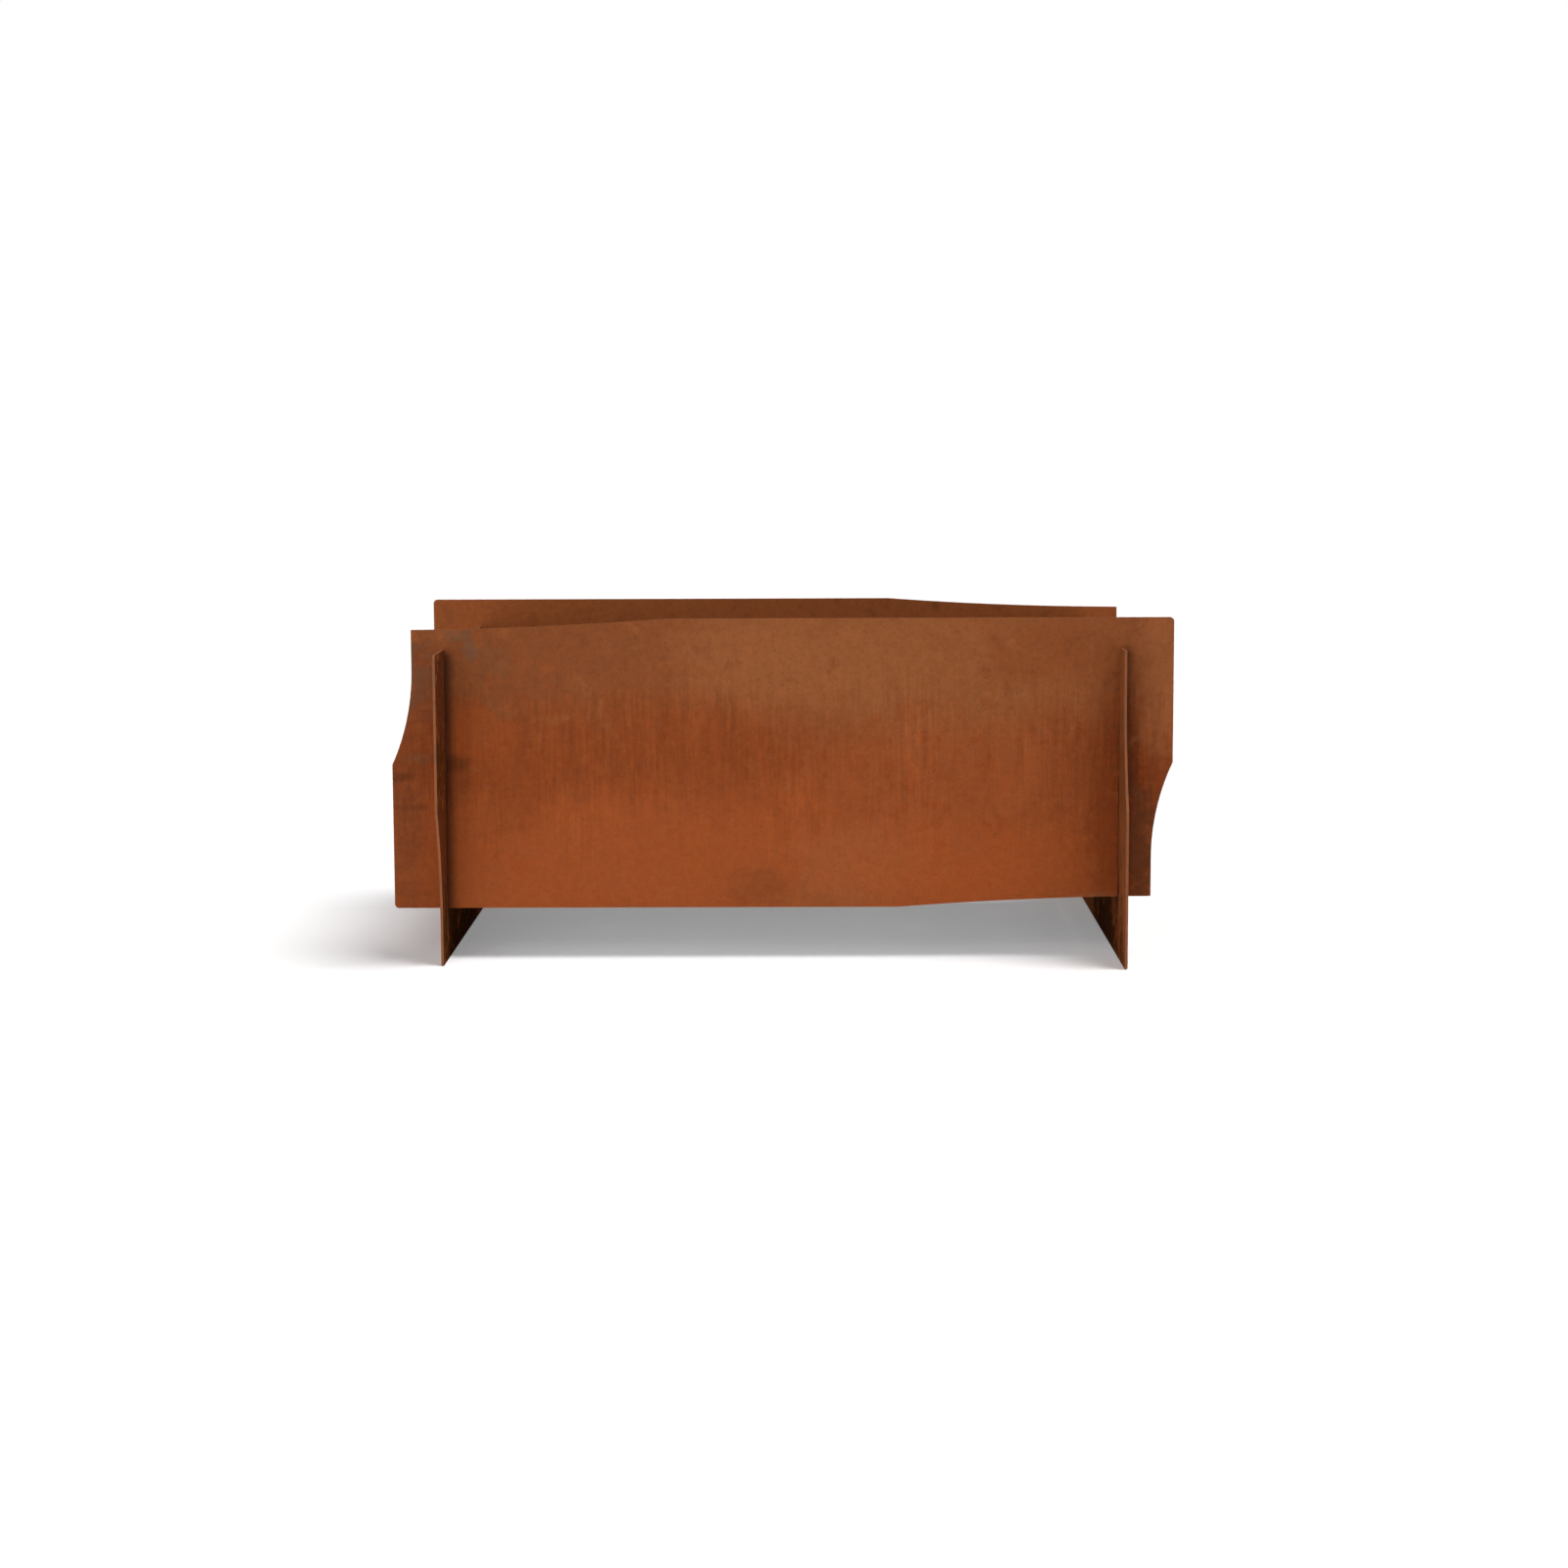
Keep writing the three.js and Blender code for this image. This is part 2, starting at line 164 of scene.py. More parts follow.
def add_camera():
    data = bpy.data.cameras.new("camera")
    data.lens = CAMERA_LENS
    data.sensor_width = SENSOR
    data.clip_end = FAR_CLIP
    camera = bpy.data.objects.new("camera", data)
    turn = Matrix.Rotation(CAMERA_YAW, 4, "Z")
    tilt = Matrix.Rotation(math.pi / 2 + CAMERA_PITCH, 4, "X")
    roll = Matrix.Rotation(CAMERA_ROLL, 4, "Z")
    camera.matrix_world = Matrix.Translation(CAMERA_PLACE) @ turn @ tilt @ roll
    bpy.context.scene.collection.objects.link(camera)
    bpy.context.scene.camera = camera


def direction(azimuth, elevation):
    """The unit vector towards a light at azimuth (0 in front, positive to the right)."""
    a = math.radians(azimuth)
    e = math.radians(elevation)
    return Vector((math.sin(a) * math.cos(e), -math.cos(a) * math.cos(e), math.sin(e)))


def add_area_light(name, azimuth, elevation, distance, size, power, target):
    data = bpy.data.lights.new(name, "AREA")
    data.shape = "RECTANGLE"
    data.size, data.size_y = size
    data.energy = power
    light = bpy.data.objects.new(name, data)
    away = direction(azimuth, elevation)
    light.location = target + away * distance
    light.rotation_euler = away.to_track_quat("Z", "Y").to_euler()
    light.visible_camera = False
    bpy.context.scene.collection.objects.link(light)


def add_sun(name, azimuth, elevation, angle, strength):
    data = bpy.data.lights.new(name, "SUN")
    data.angle = math.radians(angle)
    data.energy = strength
    light = bpy.data.objects.new(name, data)
    light.rotation_euler = direction(azimuth, elevation).to_track_quat("Z", "Y").to_euler()
    bpy.context.scene.collection.objects.link(light)


AMBIENT = 0.06
BACKGROUND = 1.0
FLOOR_HALF = 60.0
FLOOR_GREY = 0.88
FLOOR_GLOW = 0.225


def make_world():
    """A white backdrop that gives the object only part of its light."""
    world = bpy.data.worlds.new("studio")
    world.use_nodes = True
    tree = world.node_tree
    tree.nodes.clear()
    out = tree.nodes.new("ShaderNodeOutputWorld")
    mix = tree.nodes.new("ShaderNodeMixShader")
    path = tree.nodes.new("ShaderNodeLightPath")
    ambient = tree.nodes.new("ShaderNodeBackground")
    ambient.inputs["Color"].default_value = (1, 1, 1, 1)
    ambient.inputs["Strength"].default_value = AMBIENT
    backdrop = tree.nodes.new("ShaderNodeBackground")
    backdrop.inputs["Color"].default_value = (1, 1, 1, 1)
    backdrop.inputs["Strength"].default_value = BACKGROUND
    tree.links.new(path.outputs["Is Camera Ray"], mix.inputs["Fac"])
    tree.links.new(ambient.outputs[0], mix.inputs[1])
    tree.links.new(backdrop.outputs[0], mix.inputs[2])
    tree.links.new(mix.outputs[0], out.inputs["Surface"])
    bpy.context.scene.world = world


def make_floor():
    mesh = bpy.data.meshes.new("floor")
    half = FLOOR_HALF
    corners = [(-half, -half, 0), (half, -half, 0), (half, half, 0), (-half, half, 0)]
    mesh.from_pydata(corners, [], [(0, 1, 2, 3)])
    floor = bpy.data.objects.new("floor", mesh)
    material = bpy.data.materials.new("pale_floor")
    material.use_nodes = True
    shader = material.node_tree.nodes["Principled BSDF"]
    shader.inputs["Base Color"].default_value = (FLOOR_GREY, FLOOR_GREY, FLOOR_GREY, 1)
    shader.inputs["Roughness"].default_value = 0.9
    shader.inputs["Specular IOR Level"].default_value = 0.0
    shader.inputs["Emission Color"].default_value = (1, 1, 1, 1)
    shader.inputs["Emission Strength"].default_value = FLOOR_GLOW
    mesh.materials.append(material)
    bpy.context.scene.collection.objects.link(floor)


def light_scene():
    middle = Vector((0, 0, 0.45))
    add_area_light("key", azimuth=-22, elevation=15, distance=3.2, size=(1.3, 1.3), power=15,
                   target=middle)
    add_sun("left", azimuth=-38, elevation=30, angle=40, strength=0.40)
    add_sun("overhead", azimuth=72, elevation=67, angle=36, strength=2.86)
    bpy.context.scene.view_settings.view_transform = "Standard"
    bpy.context.scene.view_settings.look = "None"


# ---------------------------------------------------------------- node helpers


class Shading:
    """A material's node tree, built by calls that each add one step and give back its output."""

    def __init__(self, name):
        self.material = bpy.data.materials.new(name)
        self.material.use_nodes = True
        self.tree = self.material.node_tree
        self.shader = self.tree.nodes["Principled BSDF"]
        self.where = self.add("ShaderNodeTexCoord").outputs["Object"]

    def add(self, kind, **settings):
        node = self.tree.nodes.new(kind)
        for key, value in settings.items():
            setattr(node, key, value)
        return node

    def feed(self, socket, value):
        if isinstance(value, bpy.types.NodeSocket):
            self.tree.links.new(value, socket)
        elif isinstance(value, tuple) and len(value) == 3 and socket.type == "RGBA":
            socket.default_value = (*value, 1)
        else:
            socket.default_value = value

    def math(self, operation, a, b):
        node = self.add("ShaderNodeMath", operation=operation)
        self.feed(node.inputs[0], a)
        self.feed(node.inputs[1], b)
        return node.outputs[0]

    def plus(self, a, b):
        return self.math("ADD", a, b)

    def times(self, a, b):
        return self.math("MULTIPLY", a, b)

    def vector(self, operation, a, b=(0.0, 0.0, 0.0)):
        node = self.add("ShaderNodeVectorMath", operation=operation)
        self.feed(node.inputs[0], a)
        self.feed(node.inputs[1], b)
        return node.outputs["Value"] if operation == "LENGTH" else node.outputs["Vector"]

    def axis(self, coordinates, name):
        node = self.add("ShaderNodeSeparateXYZ")
        self.feed(node.inputs[0], coordinates)
        return node.outputs[name]

    def noise(self, scale, detail=4.0, roughness=0.55, distortion=0.0, stretch=None, shift=None):
        coordinates = self.where
        if shift:
            coordinates = self.vector("ADD", coordinates, shift)
        if stretch:
            coordinates = self.vector("MULTIPLY", coordinates, stretch)
        node = self.add("ShaderNodeTexNoise")
        self.feed(node.inputs["Vector"], coordinates)
        node.inputs["Scale"].default_value = scale
        node.inputs["Detail"].default_value = detail
        node.inputs["Roughness"].default_value = roughness
        node.inputs["Distortion"].default_value = distortion
        return node.outputs["Fac"]

    def cells(self, scale):
        """Cells that each have one random colour."""
        node = self.add("ShaderNodeTexVoronoi")
        self.feed(node.inputs["Vector"], self.where)
        node.inputs["Scale"].default_value = scale
        return node.outputs["Color"]

    def spread(self, value, low, high, to_low=0.0, to_high=1.0, smooth=True):
        """Maps low..high to to_low..to_high, clamped."""
        node = self.add("ShaderNodeMapRange")
        node.interpolation_type = "SMOOTHSTEP" if smooth else "LINEAR"
        self.feed(node.inputs["Value"], value)
        ends = {"From Min": low, "From Max": high, "To Min": to_low, "To Max": to_high}
        for name, number in ends.items():
            node.inputs[name].default_value = number
        return node.outputs["Result"]

    def mix(self, amount, a, b):
        node = self.add("ShaderNodeMix", data_type="RGBA")
        self.feed(node.inputs["Factor"], amount)
        self.feed(node.inputs["A"], a)
        self.feed(node.inputs["B"], b)
        return node.outputs["Result"]

    def darken(self, colour, factor):
        """Multiplies a colour by a grey factor, which may be over one."""
        node = self.add("ShaderNodeVectorMath", operation="SCALE")
        self.feed(node.inputs[0], colour)
        self.feed(node.inputs["Scale"], factor)
        return node.outputs["Vector"]

    def bump(self, height, strength, distance):
        node = self.add("ShaderNodeBump")
        node.inputs["Strength"].default_value = strength
        node.inputs["Distance"].default_value = distance
        self.feed(node.inputs["Height"], height)
        return node.outputs["Normal"]

    def finish(self, **sockets):
        for name, value in sockets.items():
            self.feed(self.shader.inputs[name.replace("_", " ")], value)
        return self.material


# ---------------------------------------------------------------- weathering steel

ORANGE = (0.308, 0.069, 0.015)
RED_BROWN = (0.238, 0.051, 0.010)
BROWN = (0.226, 0.064, 0.018)
TAN = (0.288, 0.092, 0.028)
GREY_BROWN = (0.190, 0.072, 0.030)
DARK_RED = (0.190, 0.037, 0.005)
DARK_BROWN = (0.110, 0.026, 0.005)
SLATE = (0.150, 0.085, 0.050)
CUT_EDGE = (0.265, 0.080, 0.022)
DARK_BLOTCH = (0.200, 0.055, 0.016)
RED_BLOTCH = (0.270, 0.050, 0.010)
SPECK = (0.09, 0.035, 0.018)
DRIP_CONTRAST = 0.17

# A patch is whole up to the first share of its size and gone at the second.
PATCH_WHOLE = 0.35
PATCH_GONE = 1.15


def patch(s, centre, size, wobble):
    """An uneven spot: one at its centre, none past its size, its rim pushed about by wobble."""
    away = s.vector("SUBTRACT", s.where, centre)
    scaled = s.vector("DIVIDE", away, size)
    length = s.plus(s.vector("LENGTH", scaled), wobble)
    return s.spread(length, PATCH_WHOLE, PATCH_GONE, 1.0, 0.0)


def rust(name, seed, patches=(), top=LONG_TOP, streaked=1.0, sheen=0.10, painted_shadows=()):
    """Weathering steel: orange low down, red-brown half way up and browner and blotched at the
    top, with drips of rain between. seed moves the patterns; patches are (centre, size, colour,
    strength), some of them stains and others painted shade, shadow and light; streaked scales the
    drips and sheen is how much it mirrors. The last argument lists dark bands of painted
    shadow along the right of a crossing plate, where its cast shadow falls: (x of that plate's
    face, width, height, tone at the plate)."""
    s = Shading(name)
    shift = (seed * 3.7, seed * 1.9, seed * 5.3)
    height = s.math("DIVIDE", s.axis(s.where, "Z"), top)
    clouds = s.noise(2.3, 4, 0.55, 0.5, shift=shift)
    mottle = s.noise(10, 6, 0.62, 0.8, shift=shift)
    blots = s.noise(26, 6, 0.66, 0.6, shift=shift)
    flecks = s.noise(70, 5, 0.72, 0.5, shift=shift)
    grain = s.noise(330, 3, 0.7, shift=shift)
    drips = s.noise(1.0, 4, 0.6, 0.9, stretch=(46, 46, 4.6), shift=shift)
    thin_drips = s.noise(1.0, 3, 0.6, 0.7, stretch=(150, 150, 9.0), shift=shift)
    gathered = s.noise(1.0, 3, 0.5, 0.3, stretch=(7, 7, 3), shift=shift)

    def centred(value, strength):
        return s.times(s.math("SUBTRACT", value, 0.5), strength)

    level = s.plus(height, s.plus(centred(clouds, 0.5), centred(mottle, 0.4)))
    colour = s.mix(s.spread(level, 0.38, 0.62), ORANGE, RED_BROWN)
    colour = s.mix(s.spread(level, 0.66, 0.90), colour, BROWN)
    ragged = s.plus(centred(mottle, 1.6), centred(blots, 1.2))
    for centre, size, tint, strength in patches:
        amount = s.times(patch(s, centre, size, ragged), strength)
        colour = s.mix(amount, colour, tint)

    # blotches, darker and redder or paler and greyer than what is round them, most at the top
    high = s.spread(height, 0.45, 0.85, 0.45, 1.0)
    blotch = s.plus(centred(mottle, 0.8), centred(blots, 1.0))
    pale = s.times(s.spread(blotch, 0.0, 0.30, 0.0, 0.8), high)
    colour = s.mix(pale, colour, TAN)
    dark = s.times(s.spread(blotch, -0.02, -0.30, 0.0, 0.6), high)
    colour = s.mix(dark, colour, DARK_BLOTCH)
    red = s.times(s.spread(centred(clouds, 1.0), 0.02, 0.2),
                  s.spread(blots, 0.5, 0.62, 0.0, 0.5))
    colour = s.mix(red, colour, RED_BLOTCH)

    # drips of rain in loose groups, strongest half way up
    zone = s.times(s.spread(height, 0.20, 0.50), s.spread(height, 0.72, 0.92, 1.0, 0.1))
    zone = s.times(zone, s.spread(gathered, 0.36, 0.62, 0.4, 1.0))
    drip = s.plus(s.spread(drips, 0.30, 0.70, -0.5, 0.5),
                  s.spread(thin_drips, 0.32, 0.68, -0.6, 0.6))
    drip_tone = s.times(s.times(drip, zone), DRIP_CONTRAST * streaked)
    drip_tone = s.plus(drip_tone, 1.0)
    fleck_tone = s.spread(flecks, 0.32, 0.68, 0.92, 1.08)
    grain_tone = s.spread(grain, 0.3, 0.7, 0.93, 1.07)
    tone_of_all = s.times(s.times(drip_tone, fleck_tone), grain_tone)
    colour = s.darken(colour, tone_of_all)
    # painted shadow: each band darkens the plate to the right of a crossing plate, most at that
    # plate and below its top, where its cast shadow falls
    for start, width, reach, tone in painted_shadows:
        beside = s.math("SUBTRACT", s.axis(s.where, "X"), start)
        shadow_band = s.spread(beside, 0.0, width, 1.0 - tone, 0.0)
        shadow_band = s.times(shadow_band, s.math("GREATER_THAN", beside, -PLATE / 2))
        below = s.spread(s.axis(s.where, "Z"), reach - 20 * MM, reach + 10 * MM, 1.0, 0.0)
        colour = s.darken(colour, s.math("SUBTRACT", 1.0, s.times(shadow_band, below)))
    specks = s.spread(s.noise(140, 2, 0.5, shift=(seed, 7.0, 3.0)), 0.70, 0.76, 0.0, 0.45)
    colour = s.mix(specks, colour, SPECK)

    relief = s.plus(s.times(grain, 0.5), s.times(flecks, 0.5))
    normal = s.bump(relief, 0.35, 0.0006)
    roughness = s.spread(blots, 0.3, 0.7, 0.60, 0.86)
    s.feed(s.shader.inputs["Specular IOR Level"], sheen)
    return s.finish(Base_Color=colour, Roughness=roughness, Normal=normal)


def cut_edge(name, seed):
    """The plates' cut edges: lighter, with the fine lines that the cutter leaves across them."""
    s = Shading(name)
    shift = (seed * 2.1, seed * 4.3, seed * 1.7)
    blotches = s.noise(14, 5, 0.6, 0.5, shift=shift)
    grain = s.noise(300, 3, 0.7, shift=shift)
    lines = s.noise(420, 2, 0.5, shift=shift)
    colour = s.mix(s.spread(blotches, 0.42, 0.66), CUT_EDGE, GREY_BROWN)
    colour = s.mix(s.spread(blotches, 0.3, 0.42, 0.5, 0.0), colour, ORANGE)
    colour = s.darken(colour, s.spread(grain, 0.3, 0.7, 0.85, 1.12))
    normal = s.bump(lines, 0.4, 0.0004)
    s.feed(s.shader.inputs["Specular IOR Level"], 0.3)
    roughness = s.spread(grain, 0.3, 0.7, 0.55, 0.8)
    return s.finish(Base_Color=colour, Roughness=roughness, Normal=normal)


# ---------------------------------------------------------------- mesh building


def arc(centre, radius, start, end, steps):
    points = []
    for i in range(steps + 1):
        angle = start + (end - start) * i / steps
        points.append((centre[0] + radius * math.cos(angle), centre[1] + radius * math.sin(angle)))
    return points


def rounded(corners, steps=5):
    """A closed outline through (x, y, radius) corners, each turned with its own radius."""
    points = []
    for i, (x, y, radius) in enumerate(corners):
        here = Vector((x, y))
        if radius == 0:
            points.append((x, y))
            continue
        before = (Vector(corners[i - 1][:2]) - here).normalized()
        after = (Vector(corners[(i + 1) % len(corners)][:2]) - here).normalized()
        half = before.angle(after) / 2
        reach = radius / math.tan(half)
        centre = here + (before + after).normalized() * (radius / math.sin(half))
        first = here + before * reach - centre
        last = here + after * reach - centre
        start = math.atan2(first.y, first.x)
        turn = (math.atan2(last.y, last.x) - start + math.pi) % (2 * math.pi) - math.pi
        points += arc(centre, radius, start, start + turn, steps)
    return points


def ring(radius, height, steps):
    """A level circle. radius may be a number or a function of the angle, and so may height."""
    points = []
    for i in range(steps):
        angle = 2 * math.pi * i / steps
        r = radius(angle) if callable(radius) else radius
        z = height(angle) if callable(height) else height
        points.append((r * math.cos(angle), r * math.sin(angle), z))
    return points


def skin(name, loops, closed=False):
    """A solid through loops of equally many points: capped at both ends, or closed on itself."""
    work = bmesh.new()
    rows = [[work.verts.new(point) for point in loop] for loop in loops]
    pairs = list(zip(rows, rows[1:]))
    if closed:
        pairs.append((rows[-1], rows[0]))
    else:
        work.faces.new(rows[0])
        work.faces.new(rows[-1])
    for row, following in pairs:
        for i in range(len(row)):
            work.faces.new((row[i - 1], row[i], following[i], following[i - 1]))
    bmesh.ops.recalc_face_normals(work, faces=work.faces)
    mesh = bpy.data.meshes.new(name)
    work.to_mesh(mesh)
    work.free()
    return mesh


def bar(name, outline, place, start, end):
    """An outline drawn out from start to end. place maps (u, v, along) to a point."""
    return skin(name, [[place(u, v, along) for u, v in outline] for along in (start, end)])


def joined(name, parts):
    """One mesh from (mesh, matrix) parts."""
    work = bmesh.new()
    for mesh, matrix in parts:
        before = len(work.verts)
        work.from_mesh(mesh)
        work.verts.ensure_lookup_table()
        bmesh.ops.transform(work, matrix=matrix, verts=work.verts[before:])
    result = bpy.data.meshes.new(name)
    work.to_mesh(result)
    work.free()
    return result


def aimed(place, way):
    """The frame at place whose Z axis points along way."""
    turn = Vector(way).to_track_quat("Z", "Y").to_matrix().to_4x4()
    return Matrix.Translation(Vector(place)) @ turn


def drilled(mesh, holes):
    """The mesh with round holes cut through it. A hole is (centre, way, radius, length)."""
    drills = []
    for centre, way, radius, length in holes:
        ends = [ring(radius, height, DRILL_SIDES) for height in (-length / 2, length / 2)]
        rod = skin("drill", ends)
        drills.append((rod, aimed(centre, way)))
    body = bpy.data.objects.new("drilled", mesh)
    tool = bpy.data.objects.new("drill", joined("drills", drills))
    for thing in (body, tool):
        bpy.context.scene.collection.objects.link(thing)
    cut = body.modifiers.new("cut", "BOOLEAN")
    cut.solver = "EXACT"
    cut.object = tool
    graph = bpy.context.evaluated_depsgraph_get()
    result = bpy.data.meshes.new_from_object(body.evaluated_get(graph))
    for thing in (body, tool):
        bpy.data.objects.remove(thing)
    work = bmesh.new()
    work.from_mesh(result)
    bmesh.ops.remove_doubles(work, verts=work.verts, dist=MERGE_WITHIN)
    bmesh.ops.dissolve_degenerate(work, edges=work.edges, dist=DISSOLVE_UNDER)
    work.to_mesh(result)
    work.free()
    return result


def weld_bead(name, path, radius, closed=False):
    """A weld along a path of points, with the ripples that its pool left. The round section is
    carried along without twisting and turns with the path at its corners."""
    points = [Vector(p) for p in path]
    legs = zip(points, points[1:] + points[:1] if closed else points[1:])
    centres = []
    for start, end in legs:
        steps = max(1, round((end - start).length / BEAD_STEP))
        centres += [start.lerp(end, k / steps) for k in range(steps)]
    if not closed:
        centres.append(points[-1])
    count = len(centres)
    before, after = (centres[-1:], centres[:1]) if closed else (centres[:1], centres[-1:])
    around = before + centres + after
    ways = [(around[i + 2] - around[i]).normalized() for i in range(count)]
    length = sum((b - a).length for a, b in zip(centres, centres[1:]))
    pitch = length / max(1, round(length / RIPPLE_PITCH))
    side = ways[0].orthogonal().normalized()
    loops = []
    travelled = 0.0
    for i, (centre, way) in enumerate(zip(centres, ways)):
        if i:
            travelled += (centre - centres[i - 1]).length
        side = (side - way * side.dot(way)).normalized()
        other = way.cross(side)
        ripple = 0.5 + 0.5 * math.cos(2 * math.pi * travelled / pitch)
        r = radius * (1 - RIPPLE_DEPTH + RIPPLE_DEPTH * ripple * ripple)
        loops.append([centre + side * r * math.cos(a) + other * r * math.sin(a)
                      for a in (2 * math.pi * n / BEAD_SIDES for n in range(BEAD_SIDES))])
    return skin(name, loops, closed)


# ---------------------------------------------------------------- plates


def stepped_curve(start, along, away, run_length, drop, steps, shown=None):
    """An arc that leaves an edge at an angle and turns parallel to it again after run_length."""
    shown = shown or run_length
    radius = (run_length * run_length + drop * drop) / (2 * drop)
    points = []
    for i in range(1, steps + 1):
        run = shown * i / steps
        left = run_length - run
        fall = drop - (radius - math.sqrt(radius * radius - left * left))
        points.append((start[0] + along[0] * run + away[0] * fall,
                       start[1] + along[1] * run + away[1] * fall))
    return points


def notch_points(half_length, notch):
    rise = math.sqrt(2 * NOTCH_R * notch - notch * notch)
    curve = stepped_curve((-half_length, 0), (0, 1), (1, 0), rise, notch, 56)
    return curve[::-1]


def long_plate_outline():
    half_height = (LONG_TOP - LONG_BOTTOM) / 2
    half = [(LONG_HALF, 0)]
    half += arc((LONG_HALF - CORNER_R, half_height - CORNER_R), CORNER_R, 0, math.pi / 2, 12)
    start = (-LONG_DROP_START, half_height)
    run = LONG_HALF - LONG_DROP_START
    half.append(start)
    half += stepped_curve(start, (-1, 0), (0, -1), run, LONG_DROP, 48, run - LONG_NOTCH)
    half += notch_points(LONG_HALF, LONG_NOTCH)
    outline = half + [(-x, -y) for x, y in half]
    for side in (-1, 1):
        outline = cut_slot(outline, side * CROSS_X, LAP_HEIGHT - LONG_MIDDLE, -1)
    return outline


def cross_plate_outline():
    half_height = CROSS_TOP / 2
    half = [(CROSS_HALF, 0)]
    half += arc((CROSS_HALF - CORNER_R, half_height - CORNER_R), CORNER_R, 0, math.pi / 2, 12)
    half.append((CROSS_NOTCH - CROSS_HALF, half_height))
    half += notch_points(CROSS_HALF, CROSS_NOTCH)
    outline = half + [(-x, -y) for x, y in half]
    for side in (-1, 1):
        outline = cut_slot(outline, side * LONG_Y, LAP_HEIGHT - GAP - half_height, 1)
    return outline


def cut_slot(outline, centre, level, side):
    """Cuts a slot at centre into the outline's top (side 1) or bottom (side -1), to level."""
    low = centre - SLOT / 2
    high = centre + SLOT / 2
    r = SLOT_CORNER_R
    result = []
    for i, (x, y) in enumerate(outline):
        next_x, next_y = outline[(i + 1) % len(outline)]
        on_edge = y * side > 0 and next_y * side > 0
        if not (on_edge and low < x < high):
            result.append((x, y))
        if not on_edge:
            continue
        forward = next_x > x
        for wall in (low, high) if forward else (high, low):
            if min(x, next_x) <= wall < max(x, next_x):
                share = (wall - x) / (next_x - x)
                edge = (wall, y + share * (next_y - y))
                inward = 1 if wall == low else -1
                middle = (wall + inward * r, level + side * r)
                begin = math.pi if wall == low else 0
                end = begin + inward * side * math.pi / 2
                corner = arc(middle, r, begin, end, 5)
                entering = (wall == low) == forward
                result += [edge] + corner if entering else corner[::-1] + [edge]
    return result


def plate_mesh(name, outline, place):
    """A plate from its outline, PLATE thick. place maps (along, up, across) to a point."""
    work = bmesh.new()
    half = PLATE / 2
    front = [work.verts.new(place(x, y, -half)) for x, y in outline]
    back = [work.verts.new(place(x, y, half)) for x, y in outline]
    work.faces.new(front)
    work.faces.new(back[::-1])
    count = len(outline)
    for i in range(count):
        j = (i + 1) % count
        side = work.faces.new((front[j], front[i], back[i], back[j]))
        side.material_index = 1
    bmesh.ops.recalc_face_normals(work, faces=work.faces)
    mesh = bpy.data.meshes.new(name)
    work.to_mesh(mesh)
    work.free()
    return mesh


def smooth_by_angle(mesh, degrees):
    mesh.polygons.foreach_set("use_smooth", [True] * len(mesh.polygons))
    mesh.set_sharp_from_angle(angle=math.radians(degrees))


def add_bevel(piece, width, segments=2, degrees=35):
    bevel = piece.modifiers.new("edge", "BEVEL")
    bevel.width = width
    bevel.segments = segments
    bevel.limit_method = "ANGLE"
    bevel.angle_limit = math.radians(degrees)
    bevel.harden_normals = True


def new_piece(name, mesh, body, materials, replaced):
    piece = bpy.data.objects.new(name, mesh)
    if not mesh.materials:
        for material in materials:
            mesh.materials.append(material)
    bpy.context.scene.collection.objects.link(piece)
    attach(piece, body)
    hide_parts(*replaced)
    return piece


# Weathering that differs from plate to plate, and painted shade, shadow and light, as patches for
# rust().
ONE_FACE = 4 * MM  # so thin that next to nothing shows on the plate's other face
BOTH_FACES = 0.3
FRONT_SPOT_Y = -0.41


def front_spot(x, z, reach_x, reach_z, colour, strength):
    """A patch on both faces of the front plate."""
    return (x, FRONT_SPOT_Y, z), (reach_x, BOTH_FACES, reach_z), colour, strength


def cross_spot(side, y, z, reach_y, reach_z, colour, strength):
    """A patch on the inner face of the left (side -1) or right (side 1) cross plate."""
    return (side * CROSS_INNER, y, z), (ONE_FACE, reach_y, reach_z), colour, strength


